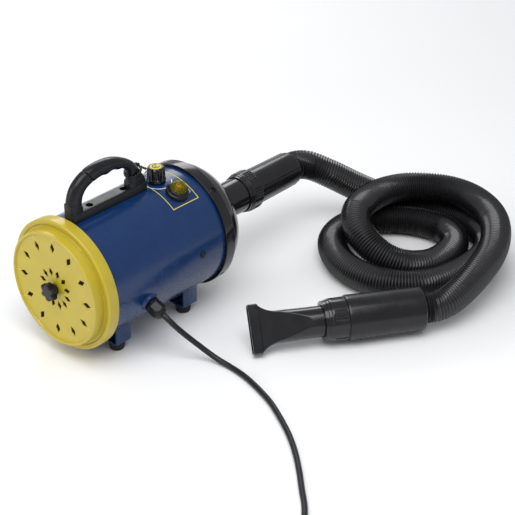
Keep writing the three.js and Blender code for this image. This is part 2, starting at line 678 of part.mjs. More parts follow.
// ---------------------------------------------------------------- hose and handpiece
const HOSE_ROUTE = [
  [446.4, 0, 105.25], [453, 0, 105.25], [464, -2, 104.5], [480, -10, 100], [503, -33, 85],
  [531, -59, 63], [563, -84, 41], [591, -113, 27], [612, -150, 22.8], [621, -194, 22.8],
  [614, -238, 22.8], [591, -273, 22.8],
  [554, -295, 22.8], [511, -301, 22.8], [468, -297, 22.8], [427, -281, 22.8], [397, -251, 22.8],
  [382, -211, 22.8], [385, -168, 22.8], [404, -129, 22.8], [435, -99, 22.8], [474, -89, 22.8],
  [514, -100, 22.8], [546, -128, 22.8], [567, -166, 22.8], [572, -206, 22.8], [551, -240, 22.8],
  [513, -254, 22.8], [472, -250, 23.5], [440, -227, 29], [424, -190, 43.5], [430, -152, 60.5],
  [459, -123, 68.4], [500, -110, 68.6], [543, -114, 68.6], [580, -134, 68.6], [605, -169, 68.6],
  [613, -211, 68.6], [603, -253, 68.6], [579, -289, 68.4], [545, -317, 66], [506, -336, 60.5],
  [463, -345, 52.5], [422, -347.5, 43], [392, -344.5, 36.5], [375, -337.6, 33.4],
  [366.6, -331.86, 32.8], [358.3, -326.17, 32.8],
];

const hose = () => cable(HOSE_ROUTE, HOSE_RADIUS, 10, 60, HOSE_BORE);

const handOrigin = new THREE.Vector3(HAND.x, HAND.y, HAND.z);
const handHeading = new THREE.Vector3(...HAND.heading).normalize();

/** A solid turned about the handpiece's axis, which starts at the hose. */
const handTurned = (profile) => turned(profile, 24, handOrigin, handHeading);

const handCuff = () => handTurned([
  [0, 20], [0, 29.5], [2, 31], [109, 32.5], [111, 32], [111, 24], [106, 20], [0, 20],
]);

const nozzleRing = () => handTurned([
  [111.3, 22.6], [111.3, 30.4], [135, 30.4], [136, 29.2], [139.5, 29.2], [140, 27.9],
  [144.4, 27.9], [144.4, 22.6], [111.3, 22.6],
]);

const smooth = (from, to, at) => THREE.MathUtils.smoothstep(at, from, to);

/** Half sizes of the nozzle's section at a distance along the handpiece. */
function nozzleSection(at) {
  const neck = 22;
  return {
    wide: THREE.MathUtils.lerp(neck, MOUTH.wide / 2, smooth(196, 236, at)),
    thick: THREE.MathUtils.lerp(neck, MOUTH.thick / 2, smooth(160, 232, at)),
    corner: THREE.MathUtils.lerp(2, 4, smooth(170, 236, at)),
  };
}

/** A round neck that turns into a wide thin mouth. The lathe's radius says outer or inner skin. */
function fanNozzle() {
  const marker = 10;
  const wall = 1.8;
  const stations = [122, 158, 172, 186, 200, 212, 224, 236, MOUTH.end];
  const outer = stations.map((at) => new THREE.Vector2(marker, at));
  const inner = stations.map((at) => new THREE.Vector2(marker - wall, at)).reverse();
  const geometry = new THREE.LatheGeometry([...outer, ...inner, outer[0]], 24);
  const position = geometry.getAttribute("position");
  for (let i = 0; i < position.count; i += 1) {
    const [across, at, up] = [position.getX(i), position.getY(i), position.getZ(i)];
    const skin = marker - Math.hypot(across, up);
    const angle = Math.atan2(up, across);
    const { wide, thick, corner } = nozzleSection(at);
    const [cos, sin] = [Math.cos(angle), Math.sin(angle)];
    const bend = (Math.abs(cos) ** corner + Math.abs(sin) ** corner) ** (-1 / corner);
    position.setXYZ(i, (thick - skin) * bend * cos, at, (wide - skin) * bend * sin);
  }
  const level = new THREE.Vector3().crossVectors(Z_AXIS, handHeading);
  geometry.rotateY(THREE.MathUtils.degToRad(MOUTH.tilt));
  geometry.applyMatrix4(new THREE.Matrix4().makeBasis(level, handHeading, Z_AXIS));
  geometry.translate(handOrigin.x, handOrigin.y, handOrigin.z);
  return solidOf(geometry);
}

// ---------------------------------------------------------------- assembly
add("body_tube", bodyTube(), BLUE_PAINT);
add("filter_cover", filterCover(), YELLOW_PLASTIC);
add("filter_foam", filterFoam(), FOAM);
add("cover_knob", coverKnob(), BLACK_GLOSS);
add("intake_bracket", intakeBracket(), STEEL);
add("acoustic_liner", acousticLiner(), FOAM);
add("motor_plate", motorPlate(), STEEL);
add("motor_gasket", motorGasket(), RUBBER);
add("fan_housing", fanHousing(), SHEET_ALLOY);
add("impeller", impeller(), SHEET_ALLOY);
add("motor_shaft", motorShaft(), STEEL);
add("armature", armature(), COPPER);
add("commutator", commutator(), COPPER);
add("stator", stator(), LAMINATION);
add("motor_frame", motorFrame(), CAST_ALLOY);
add("end_bracket", endBracket(), CAST_ALLOY);
add("front_bearing", bearing(FAN.rear + 0.8, FAN.rear + 7.5, 11), STEEL);
add("rear_bearing", bearing(MOTOR.bracket, MOTOR.bracket + 8, 10), STEEL);
add("brush_holder_near", brushHolder(-1), COPPER);
add("brush_holder_far", brushHolder(1), COPPER);
add("motor_mount_ring", motorMountRing(), RUBBER);
add("rear_cover", rearCover(), BLACK_GLOSS);
coverScrewAngles.forEach((angle, i) => add(`cover_screw_${i + 1}`, coverScrew(angle), STEEL));
add("outlet_ring", outletRing(), BLACK_GLOSS);
add("body_cuff", bodyCuff(), BLACK_GLOSS);
add("switch_bezel", switchBezel(), BLACK_MATTE);
add("switch_lens", switchLens(), AMBER_LENS);
add("switch_rocker", switchRocker(), ORANGE_PLASTIC);
add("switch_body", switchBody(), BLACK_MATTE);
add("speed_knob", speedKnob(), BLACK_GLOSS);
add("knob_insert", knobInsert(), YELLOW_PLASTIC);
add("speed_control", speedControl(), STEEL);
add("control_board", controlBoard(), GREEN_BOARD);
add("wiring_loom", wiringLoom(), BLACK_MATTE);
add("hole_plug", holePlug(), BLACK_MATTE);
add("handle_frame", handleFrame(), BLACK_MATTE);
add("handle_grip", handleGrip(), RUBBER);
HANDLE.screws.forEach((x, i) => add(`handle_screw_${i + 1}`, handleScrew(x), STEEL));
FEET.x.forEach((x, row) => {
  [-1, 1].forEach((side) => {
    const place = `${row === 0 ? "front" : "rear"}_${side < 0 ? "near" : "far"}`;
    add(`foot_bracket_${place}`, footBracket(x, side), BLUE_PAINT);
    add(`rubber_foot_${place}`, rubberFoot(x, side), RUBBER);
  });
});
add("gland_body", glandBody(), BLACK_MATTE);
add("gland_nut", glandNut(), BLACK_MATTE);
add("power_cord", powerCord(), RUBBER);
add("cord_coil", cordCoil(), RUBBER);
add("mains_plug", mainsPlug(), BLACK_MATTE);
add("hose", hose(), BLACK_GLOSS);
add("hand_cuff", handCuff(), BLACK_GLOSS);
add("nozzle_ring", nozzleRing(), BLACK_GLOSS);
add("fan_nozzle", fanNozzle(), BLACK_MATTE);

dryer.position.x = -BODY_MIDDLE;

export default dryer;
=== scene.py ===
"""A forced-air pet dryer with its hose, fan nozzle and mains cord, laid out as on a studio table.

Shapes are worked out in millimetres in the shop frame: X runs along the blower from the rear edge
of the filter ring, Y across and Z up from the floor. seat() turns them into metres in the frame.
"""

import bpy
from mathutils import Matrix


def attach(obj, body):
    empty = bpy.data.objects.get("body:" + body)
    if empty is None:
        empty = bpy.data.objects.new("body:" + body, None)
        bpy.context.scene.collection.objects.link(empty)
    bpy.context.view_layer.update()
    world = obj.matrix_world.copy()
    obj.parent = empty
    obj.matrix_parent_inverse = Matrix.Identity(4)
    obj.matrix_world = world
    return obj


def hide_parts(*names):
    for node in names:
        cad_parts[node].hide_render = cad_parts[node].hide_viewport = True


bl_info = {
    "name": "Pet Dryer",
    "version": (1, 0, 0),
    "blender": (4, 5, 0),
    "location": "View3D > Sidebar > Pet Dryer",
    "description": "Makes the visible pieces of a forced-air pet dryer around its frame",
    "category": "Add Mesh",
}

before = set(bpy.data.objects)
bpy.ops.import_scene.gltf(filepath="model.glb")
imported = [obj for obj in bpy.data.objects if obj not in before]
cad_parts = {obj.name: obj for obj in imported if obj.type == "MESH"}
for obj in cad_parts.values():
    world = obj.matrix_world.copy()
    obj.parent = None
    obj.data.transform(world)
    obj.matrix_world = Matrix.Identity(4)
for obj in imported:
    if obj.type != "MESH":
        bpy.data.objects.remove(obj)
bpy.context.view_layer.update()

import math

import bpy
import numpy as np
from bpy.props import FloatProperty, FloatVectorProperty, IntProperty, PointerProperty
from mathutils import Vector

MM = 0.001
BODY_MIDDLE = 154.0
AXIS_Z = 105.25
TUBE_R = 88.0
TAU = 2 * math.pi


# ------------------------------------------------------------------ directions and places
def unit(vector):
    vector = np.asarray(vector, float)
    return vector / np.linalg.norm(vector)


def seat(points):
    """Shop millimetres to frame metres."""
    points = np.asarray(points, float)
    return (points - np.array([BODY_MIDDLE, 0.0, 0.0])) * MM


def outward(degrees):
    """The way out of the tube at an angle from straight up, turning to the near side."""
    angle = math.radians(degrees)
    return np.array([0.0, -math.sin(angle), math.cos(angle)])


def around(x, degrees, distance):
    return np.array([x, 0.0, AXIS_Z]) + distance * outward(degrees)


BODY_LINE = (np.array([0.0, 0.0, AXIS_Z]), np.array([1.0, 0.0, 0.0]), np.array([0.0, 0.0, 1.0]))
HAND_START = np.array([357.9, -325.9, 32.8])
HAND_WAY = unit([-0.825, 0.565, 0.0])
HAND_LINE = (HAND_START, HAND_WAY, np.array([0.0, 0.0, 1.0]))


def square_line(x, degrees):
    """A line that stands square on the tube: its start on the axis, its way, and its zero side."""
    return around(x, degrees, 0.0), outward(degrees), np.array([1.0, 0.0, 0.0])


def upright_line(x, y, z=0.0):
    return np.array([x, y, z]), np.array([0.0, 0.0, 1.0]), np.array([1.0, 0.0, 0.0])


# ------------------------------------------------------------------ meshes
def signed_volume(points, faces):
    """Sum of the signed boxes of each face's fan, from its first corner."""
    total = 0.0
    for size in (3, 4):
        block = np.array([f for f in faces if len(f) == size], int).reshape(-1, size)
        for k in range(1, size - 1):
            a, b, c = points[block[:, 0]], points[block[:, k]], points[block[:, k + 1]]
            total += np.einsum("ij,ij->", a, np.cross(b, c))
    return total


def make_object(name, points, faces, sharp=35.0):
    """A smooth-shaded mesh object at the origin, from shop points and lists of corners."""
    mesh = bpy.data.meshes.new(name)
    mesh.from_pydata(seat(points).tolist(), [], faces)
    mesh.validate()
    mesh.shade_smooth()
    mesh.set_sharp_from_angle(angle=math.radians(sharp))
    obj = bpy.data.objects.new(name, mesh)
    bpy.context.scene.collection.objects.link(obj)
    return obj


def skin_faces(rows, columns, along_closed, offset=0):
    """Four-cornered faces between neighbouring rows of a grid that closes around."""
    last = rows if along_closed else rows - 1
    row, column = np.meshgrid(np.arange(last), np.arange(columns), indexing="ij")
    next_row, next_column = (row + 1) % rows, (column + 1) % columns
    corners = (row * columns + column, row * columns + next_column,
               next_row * columns + next_column, next_row * columns + column)
    return (np.stack(corners, -1).reshape(-1, 4) + offset).tolist()


def cap_faces(columns, start, centre, forward):
    """A fan of triangles from the ring of corners that begins at start to one centre point."""
    ring = start + np.arange(columns)
    following = start + (np.arange(columns) + 1) % columns
    middle = np.full(columns, centre)
    order = (ring, middle, following) if forward else (ring, following, middle)
    return np.stack(order, -1).tolist()


def skin(name, grid, along_closed=False, sharp=35.0):
    """One closed surface through grid[row, column], closed around and either ringed or capped."""
    rows, columns = grid.shape[:2]
    points = grid.reshape(-1, 3)
    faces = skin_faces(rows, columns, along_closed)
    if not along_closed:
        ends = np.stack([grid[0].mean(0), grid[-1].mean(0)])
        faces += cap_faces(columns, 0, len(points), True)
        faces += cap_faces(columns, (rows - 1) * columns, len(points) + 1, False)
        points = np.vstack([points, ends])
    if signed_volume(points, faces) < 0:
        faces = [face[::-1] for face in faces]
    return make_object(name, points, faces, sharp)


def rounded(corners, radius, steps=4, closed=False):
    """Corners of a line, each swapped for a short curve: (1-t)^2 a + 2t(1-t) corner + t^2 b."""
    corners = np.asarray(corners, float)
    before, after = np.roll(corners, 1, 0), np.roll(corners, -1, 0)
    to_before, to_after = before - corners, after - corners
    reach_before = np.linalg.norm(to_before, axis=1, keepdims=True) + 1e-9
    reach_after = np.linalg.norm(to_after, axis=1, keepdims=True) + 1e-9
    size = np.minimum(radius, 0.45 * np.minimum(reach_before, reach_after))
    a = corners + to_before / reach_before * size
    b = corners + to_after / reach_after * size
    t = np.linspace(0, 1, steps + 1)[None, :, None]
    curve = (1 - t) ** 2 * a[:, None] + 2 * t * (1 - t) * corners[:, None] + t**2 * b[:, None]
    if closed:
        return curve.reshape(-1, corners.shape[1])
    inner = curve[1:-1].reshape(-1, corners.shape[1])
    return np.vstack([corners[:1], inner, corners[-1:]])


def turned_grid(profile, line, segments, shape=None):
    """start + along * way + r * (cos a * zero side + sin a * third side), for every profile
    point (along, r) and angle a; shape may change r by (along, a, r)."""
    start, way, zero = line
    side = np.cross(way, zero) if abs(way[0]) < 0.99 else np.array([0.0, -1.0, 0.0])
    along, reach = profile[:, 0][:, None], profile[:, 1][:, None]
    angle = np.linspace(0, TAU, segments, endpoint=False)[None, :]
    radius = reach + 0 * angle if shape is None else shape(along + 0 * angle, angle + 0 * along, reach)
    radius = radius[..., None]
    ring = np.cos(angle)[..., None] * zero + np.sin(angle)[..., None] * side
    return start + (along + 0 * angle)[..., None] * way + radius * ring


def turned(name, corners, line=BODY_LINE, radius=0.5, segments=128, shape=None, ring=False, sharp=35.0):
    """A turned piece. Its profile's corners are rounded; ring=True closes the profile on itself."""
    profile = rounded(corners, radius, closed=ring)
    return skin(name, turned_grid(profile, line, segments, shape), along_closed=ring, sharp=sharp)


def prism(name, outline, low, high, frame_of=None):
    """An outline (n, 2) pushed from low to high; frame_of turns (u, v, w) into shop points."""
    outline = np.asarray(outline, float)
    rows = [np.column_stack([outline, np.full(len(outline), w)]) for w in (low, high)]
    grid = np.stack(rows)
    return skin(name, frame_of(grid) if frame_of else grid)


def join(name, objects):
    """Several pieces as one object; the first keeps its place."""
    bpy.ops.object.select_all(action="DESELECT")
    for obj in objects:
        obj.select_set(True)
    bpy.context.view_layer.objects.active = objects[0]
    bpy.ops.object.join()
    objects[0].name = name
    objects[0].data.name = name
    return objects[0]


def carve(obj, cutters):
    """Takes the cutters' closed shapes out of obj for good."""
    tool = join("cutters", cutters) if len(cutters) > 1 else cutters[0]
    modifier = obj.modifiers.new("cut", "BOOLEAN")
    modifier.object, modifier.operation, modifier.solver = tool, "DIFFERENCE", "EXACT"
    graph = bpy.context.evaluated_depsgraph_get()
    mesh = bpy.data.meshes.new_from_object(obj.evaluated_get(graph))
    obj.modifiers.clear()
    obj.data = mesh
    mesh.set_sharp_from_angle(angle=math.radians(35))
    bpy.data.objects.remove(tool)
    return obj


def smoothstep(low, high, value):
    t = np.clip((value - low) / (high - low), 0, 1)
    return t * t * (3 - 2 * t)


def smooth_path(points, step):
    """A centripetal Catmull-Rom curve through the points, resampled at an even step."""
    points = np.asarray(points, float)
    padded = np.vstack([2 * points[0] - points[1], points, 2 * points[-1] - points[-2]])
    knots = np.concatenate([[0], np.cumsum(np.linalg.norm(np.diff(padded, axis=0), axis=1) ** 0.5)])
    dense = []
    for i in range(1, len(padded) - 2):
        t = np.linspace(knots[i], knots[i + 1], 24, endpoint=False)[:, None]
        t0, t1, t2, t3 = knots[i - 1:i + 3]
        p0, p1, p2, p3 = padded[i - 1:i + 3]
        a1 = (t1 - t) / (t1 - t0) * p0 + (t - t0) / (t1 - t0) * p1
        a2 = (t2 - t) / (t2 - t1) * p1 + (t - t1) / (t2 - t1) * p2
        a3 = (t3 - t) / (t3 - t2) * p2 + (t - t2) / (t3 - t2) * p3
        b1 = (t2 - t) / (t2 - t0) * a1 + (t - t0) / (t2 - t0) * a2
        b2 = (t3 - t) / (t3 - t1) * a2 + (t - t1) / (t3 - t1) * a3
        dense.append((t2 - t) / (t2 - t1) * b1 + (t - t1) / (t2 - t1) * b2)
    dense = np.vstack(dense + [points[-1:]])
    length = np.concatenate([[0], np.cumsum(np.linalg.norm(np.diff(dense, axis=0), axis=1))])
    even = np.linspace(0, length[-1], max(2, int(round(length[-1] / step)) + 1))
    return np.column_stack([np.interp(even, length, dense[:, k]) for k in range(3)]), length[-1]


def path_frames(path):
    """Ways along a path, and two sides square to it that turn as little as they can."""
    way = np.gradient(path, axis=0)
    way /= np.linalg.norm(way, axis=1, keepdims=True)
    side = np.empty_like(way)
    start = np.array([0.0, 0.0, 1.0]) if abs(way[0, 2]) < 0.9 else np.array([0.0, 1.0, 0.0])
    side[0] = unit(start - start @ way[0] * way[0])
    for i in range(1, len(way)):
        carried = side[i - 1] - side[i - 1] @ way[i] * way[i]
        side[i] = carried / np.linalg.norm(carried)
    return way, side, np.cross(way, side)


def tube_on_path(name, path, radius, columns, sharp=60.0):
    """path[i] + radius[i] * (cos a * side + sin a * other side)."""
    _, side, other = path_frames(path)
    angle = np.linspace(0, TAU, columns, endpoint=False)
    ring = np.cos(angle)[None, :, None] * side[:, None] + np.sin(angle)[None, :, None] * other[:, None]
    return skin(name, path[:, None] + np.asarray(radius, float)[:, None, None] * ring, sharp=sharp)


# ------------------------------------------------------------------ materials
def colour(red, green, blue):
    """Screen colour 0-255 to scene-linear."""
    values = np.array([red, green, blue]) / 255
    linear = np.where(values <= 0.04045, values / 12.92, ((values + 0.055) / 1.055) ** 2.4)
    return (*linear.tolist(), 1.0)


class Recipe:
    """A node material that grows one node at a time."""

    def __init__(self, name):
        self.material = bpy.data.materials.new(name)
        self.material.use_nodes = True
        self.tree = self.material.node_tree
        self.shader = self.tree.nodes["Principled BSDF"]
        self.place = self.node("ShaderNodeTexCoord").outputs["Object"]

    def node(self, kind, **settings):
        made = self.tree.nodes.new(kind)
        for key, value in settings.items():
            setattr(made, key, value)
        return made

    def wire(self, out, into):
        self.tree.links.new(out, into)

    def noise(self, size, detail=3.0, roughness=0.5, stretch=(1, 1, 1)):
        """Noise whose features are about size metres across."""
        mapping = self.node("ShaderNodeMapping")
        mapping.inputs["Scale"].default_value = stretch
        self.wire(self.place, mapping.inputs["Vector"])
        made = self.node("ShaderNodeTexNoise")
        made.inputs["Scale"].default_value = 1 / size
        made.inputs["Detail"].default_value = detail
        made.inputs["Roughness"].default_value = roughness
        self.wire(mapping.outputs["Vector"], made.inputs["Vector"])
        return made.outputs["Fac"]

    def span(self, value, low, high, start=0.3, end=0.7):
        made = self.node("ShaderNodeMapRange")
        made.inputs["From Min"].default_value, made.inputs["From Max"].default_value = start, end
        made.inputs["To Min"].default_value, made.inputs["To Max"].default_value = low, high
        self.wire(value, made.inputs["Value"])
        return made.outputs["Result"]

    def mix(self, factor, first, second):
        made = self.node("ShaderNodeMix", data_type="RGBA")
        self.wire(factor, made.inputs[0])
        for socket, value in ((made.inputs[6], first), (made.inputs[7], second)):
            if hasattr(value, "is_linked"):
                self.wire(value, socket)
            else:
                socket.default_value = value
        return made.outputs[2]

    def bump(self, height, depth, strength=1.0, onto=None):
        made = self.node("ShaderNodeBump")
        made.inputs["Distance"].default_value = depth
        made.inputs["Strength"].default_value = strength
        self.wire(height, made.inputs["Height"])
        if onto is not None:
            self.wire(onto, made.inputs["Normal"])
        return made.outputs["Normal"]

    def set(self, **values):
        for key, value in values.items():
            self.shader.inputs[key.replace("_", " ")].default_value = value


def moulding(name, base, roughness, grain, grain_depth, mottle=0.12, dust=0.0, coat=0.0, metallic=0.0,
             shine=0.5):
    """A moulded, cast or rolled surface: slow colour drift, a fine grain, faint smudges, and dust
    that settles where the surface looks up."""
    recipe = Recipe(name)
    light = tuple(min(1.0, c * (1 + mottle) + 0.002) for c in base[:3]) + (1.0,)
    dark = tuple(c * (1 - mottle) for c in base[:3]) + (1.0,)
    tint = recipe.mix(recipe.span(recipe.noise(0.035, 4), 0.0, 1.0), dark, light)
    if dust:
        normal = recipe.node("ShaderNodeNewGeometry").outputs["Normal"]
        split = recipe.node("ShaderNodeSeparateXYZ")
        recipe.wire(normal, split.inputs[0])
        settled = recipe.span(split.outputs["Z"], 0.0, dust, 0.2, 1.0)
        specks = recipe.span(recipe.noise(0.0022, 5, 0.7), 0.0, 1.0, 0.45, 0.8)
        both = recipe.node("ShaderNodeMath", operation="MULTIPLY")
        recipe.wire(settled, both.inputs[0])
        recipe.wire(specks, both.inputs[1])
        tint = recipe.mix(both.outputs[0], tint, colour(150, 148, 142))
    recipe.wire(tint, recipe.shader.inputs["Base Color"])
    smudge = recipe.noise(0.018, 5, 0.6)
    low, high = max(0.02, roughness - 0.06), min(1.0, roughness + 0.08)
    recipe.wire(recipe.span(smudge, low, high), recipe.shader.inputs["Roughness"])
    recipe.wire(recipe.bump(recipe.noise(grain, 2), grain_depth), recipe.shader.inputs["Normal"])
    recipe.set(Metallic=metallic, Coat_Weight=coat, Coat_Roughness=0.06)
    recipe.shader.inputs["Specular IOR Level"].default_value = shine
    return recipe


def brushed(name, base, roughness, stretch, wire_size=0.0006):
    """Metal with fine lines along one direction and dull patches."""
    recipe = Recipe(name)
    lines = recipe.noise(wire_size, 3, 0.6, stretch)
    dark = tuple(c * 0.72 for c in base[:3]) + (1.0,)
    recipe.wire(recipe.mix(recipe.span(lines, 0.0, 1.0), dark, base), recipe.shader.inputs["Base Color"])
    patch = recipe.noise(0.012, 4)
    recipe.wire(recipe.span(patch, roughness - 0.08, roughness + 0.12), recipe.shader.inputs["Roughness"])
    recipe.wire(recipe.bump(lines, 0.00004), recipe.shader.inputs["Normal"])
    recipe.set(Metallic=1.0)
    return recipe


def blue_enamel(tone):
    """Stoved enamel: a deep blue under a clear gloss, with a slight orange peel and fine wear."""
    recipe = moulding("blue_enamel", tone, 0.26, 0.006, 0.000006, mottle=0.04, coat=0.22, shine=0.36)
    return recipe.material


def woven_foam():
    """Open-cell foam: dark cells with torn edges, a millimetre or so across, painted darker still in their
    hollows as shade.
    """
    recipe = Recipe("filter_foam_cells")
    cells = recipe.node("ShaderNodeTexVoronoi", feature="DISTANCE_TO_EDGE")
    cells.inputs["Scale"].default_value = 700
    recipe.wire(recipe.place, cells.inputs["Vector"])
    wall = recipe.span(cells.outputs["Distance"], 1.0, 0.0, 0.0, 0.25)
    # painted shade: the hollows of the cells, low in the bump, are near black; the walls keep the foam's dark
    # grey
    recipe.wire(recipe.mix(wall, colour(6, 6, 7), colour(30, 30, 31)), recipe.shader.inputs["Base Color"])
    recipe.wire(recipe.bump(wall, 0.0006), recipe.shader.inputs["Normal"])
    recipe.set(Roughness=0.95)
    return recipe.material


def tinted_lens():
    """Clear olive-yellow moulding, slightly cloudy."""
    recipe = Recipe("amber_lens")
    cloud = recipe.noise(0.004, 3)
    tint = recipe.mix(recipe.span(cloud, 0.0, 1.0), colour(176, 168, 44), colour(196, 188, 60))
    recipe.wire(tint, recipe.shader.inputs["Base Color"])
    recipe.wire(recipe.span(cloud, 0.04, 0.14), recipe.shader.inputs["Roughness"])
    recipe.set(Transmission_Weight=0.86, IOR=1.16)
    return recipe.material


def wound_copper(name, base):
    """Enamelled wire, seen as fine ridges around the shaft, with painted shade darkening the troughs between
    them.
    """
    recipe = Recipe(name)
    wires = recipe.node("ShaderNodeTexWave", bands_direction="X")
    wires.inputs["Scale"].default_value = 260
    wires.inputs["Distortion"].default_value = 1.5
    recipe.wire(recipe.place, wires.inputs["Vector"])
    # painted shade: the troughs between the wires, low in the bump, take 0.45 of the copper's colour
    dark = tuple(c * 0.45 for c in base[:3]) + (1.0,)
    recipe.wire(recipe.mix(wires.outputs["Fac"], dark, base), recipe.shader.inputs["Base Color"])
    recipe.wire(recipe.bump(wires.outputs["Fac"], 0.0003), recipe.shader.inputs["Normal"])
    recipe.set(Metallic=0.8, Roughness=0.38)
    return recipe.material


def ribbed_hose(tone):
    """Hose plastic, polished on the crests of its rings and dull in the grooves, where painted shade darkens
    its colour.
    """
    recipe = moulding("hose_pvc", tone, 0.2, 0.006, 0.000006, 0.08, coat=0.3, shine=0.6)
    crest = recipe.node("ShaderNodeAttribute", attribute_name="crest").outputs["Fac"]
    tint = recipe.shader.inputs["Base Color"].links[0].from_socket
    # painted shade: the grooves take a quarter of the hose's colour, mixed in by the crest attribute
    dark = tuple(0.25 * c for c in tone[:3]) + (1.0,)
    recipe.wire(recipe.mix(recipe.span(crest, 0.0, 1.0, 0.1, 0.8), dark, tint),
                recipe.shader.inputs["Base Color"])
    recipe.wire(recipe.span(crest, 0.6, 0.12, 0.3, 0.9), recipe.shader.inputs["Roughness"])
    return recipe.material


def scored_cover(tone):
    """Yellow moulding with a faint flow line from every outer diamond to the rim: where twelve
    times the turn about the blower's line is near a whole turn, from 71 to 79 mm out."""
    recipe = moulding("yellow_abs", tone, 0.34, 0.0012, 0.00002, 0.04, 0.01, 0.15)
    tint = recipe.shader.inputs["Base Color"].links[0].from_socket
    split = recipe.node("ShaderNodeSeparateXYZ")
    recipe.wire(recipe.place, split.inputs[0])

    def math_node(operation, first, second=None, third=None):
        made = recipe.node("ShaderNodeMath", operation=operation)
        for socket, value in zip(made.inputs, (first, second, third)):
            if hasattr(value, "is_linked"):
                recipe.wire(value, socket)
            elif value is not None:
                socket.default_value = value
        return made.outputs[0]

    up = math_node("SUBTRACT", split.outputs["Z"], AXIS_Z * MM)
    turn = math_node("ARCTAN2", split.outputs["Y"], up)
    wave = math_node("COSINE", math_node("MULTIPLY", turn, 12.0))
    across = math_node("MULTIPLY", split.outputs["Y"], split.outputs["Y"])
    reach = math_node("SQRT", math_node("MULTIPLY_ADD", up, up, across))
    line = recipe.span(wave, 0.0, 1.0, 0.985, 0.998)
    starts, stops = recipe.span(reach, 0.0, 1.0, 0.070, 0.072), recipe.span(reach, 1.0, 0.0, 0.078, 0.0795)
    mask = math_node("MULTIPLY", math_node("MULTIPLY", line, starts), stops)
    faint = math_node("MULTIPLY", mask, 0.55)
    light = tuple(min(1.0, 1.35 * c + 0.03) for c in tone[:3]) + (1.0,)
    recipe.wire(recipe.mix(faint, tint, light), recipe.shader.inputs["Base Color"])
    return recipe.material


FINISHES = {}


def make_finishes(tones):
    """One material for each finish of the dryer."""
    black = tones("black")
    FINISHES.update(
        blue=blue_enamel(tones("paint")),
        yellow=scored_cover(tones("cover")),
        insert=moulding("yellow_insert", tones("insert"), 0.4, 0.001, 0.00002, 0.05).material,
        gloss=moulding("black_abs", black, 0.16, 0.004, 0.00001, 0.1, 0.004, 0.25, shine=0.4).material,
        matte=moulding("black_nylon", black, 0.34, 0.0008, 0.00003, 0.12, 0.006, shine=0.36).material,
        grip=moulding("black_grip", black, 0.27, 0.0009, 0.00002, 0.12, 0.004, shine=0.36).material,
        hose=moulding("cuff_pvc", tones("hose"), 0.24, 0.006, 0.00001, 0.08, 0.003, 0.1,
                      shine=0.4).material,
        ribs=ribbed_hose(tones("hose")),
        cord=moulding("cord_pvc", tones("hose"), 0.36, 0.0006, 0.00002, 0.12, 0.006, shine=0.4).material,
        rubber=moulding("rubber", colour(22, 22, 23), 0.8, 0.0007, 0.0001, 0.2, 0.03).material,
        print_white=moulding("white_print", colour(205, 212, 220), 0.45, 0.0005, 0.00001, 0.06).material,
        print_yellow=moulding("yellow_print", colour(214, 200, 70), 0.45, 0.0005, 0.00001, 0.06).material,
        orange=moulding("orange_rocker", colour(240, 150, 30), 0.3, 0.001, 0.00002, 0.05).material,
        brass=moulding("brass_end", colour(190, 140, 50), 0.35, 0.001, 0.00002, 0.1, metallic=0.9).material,
        board=moulding("circuit_board", colour(32, 92, 50), 0.4, 0.003, 0.0001, 0.25).material,
        cast=moulding("cast_alloy", colour(150, 152, 156), 0.5, 0.0016, 0.0002, 0.1, metallic=0.9).material,
        laminated=brushed("laminations", colour(92, 94, 99), 0.5, (60, 1, 1), 0.02).material,
        steel=brushed("zinc_steel", colour(172, 174, 178), 0.34, (1, 12, 12)).material,
        pressed=brushed("pressed_alloy", colour(190, 192, 194), 0.38, (1, 8, 8)).material,
        copper=wound_copper("copper_windings", colour(198, 116, 62)),
        lens=tinted_lens(),
        foam=woven_foam(),
    )


def dress(obj, finish, body="housing", replaces=()):
    """Gives a piece its material, its body, and the nodes that it stands for."""
    obj.data.materials.clear()
    obj.data.materials.append(FINISHES[finish])
    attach(obj, body)
    if replaces:
        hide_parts(*replaces)
    return obj


# ------------------------------------------------------------------ routes
HOSE_ROUTE = [
    (446.4, 0, 105.25), (453, 0, 105.25), (464, -2, 104.5), (480, -10, 100), (503, -33, 85),
    (531, -59, 63), (563, -84, 41), (591, -113, 27), (612, -150, 22.8), (621, -194, 22.8),
    (614, -238, 22.8), (591, -273, 22.8), (554, -295, 22.8), (511, -301, 22.8), (468, -297, 22.8),
    (427, -281, 22.8), (397, -251, 22.8), (382, -211, 22.8), (385, -168, 22.8), (404, -129, 22.8),
    (435, -99, 22.8), (474, -89, 22.8), (514, -100, 22.8), (546, -128, 22.8), (567, -166, 22.8),
    (572, -206, 22.8), (551, -240, 22.8), (513, -254, 22.8), (472, -250, 23.5), (440, -227, 29),
    (424, -190, 43.5), (430, -152, 60.5), (459, -123, 68.4), (500, -110, 68.6), (543, -114, 68.6),
    (580, -134, 68.6), (605, -169, 68.6), (613, -211, 68.6), (603, -253, 68.6), (579, -289, 68.4),
    (545, -317, 66), (506, -336, 60.5), (463, -345, 52.5), (422, -347.5, 43), (392, -344.5, 36.5),
    (375, -337.6, 33.4), (366.6, -331.86, 32.8), (358.3, -326.17, 32.8),
]
CORD_ROUTE = [
    (66, -109.34, 65.45), (66, -112.6, 64.26), (67.3, -117.6, 61.2), (70.6, -124.4, 54),
    (75.2, -130.7, 46.2), (80.6, -137.8, 37.8), (86.2, -145.6, 29.6), (92, -155, 21),
    (97.2, -166.5, 12.8), (101, -181, 6.6), (102.6, -197, 4.2), (99.3, -226.8, 4.2),
    (90.5, -260, 4.2), (78.9, -292.4, 4.2), (61.5, -326, 4.2), (42.3, -358, 4.2), (21, -387, 4.2),
    (-2.7, -414.4, 4.2), (-28, -441, 4.2), (-51, -465.5, 4.2), (-82, -492, 4.2), (-112.6, -518.1, 4.2),
]
COIL_MIDDLE = np.array([-102.0, -580.0])
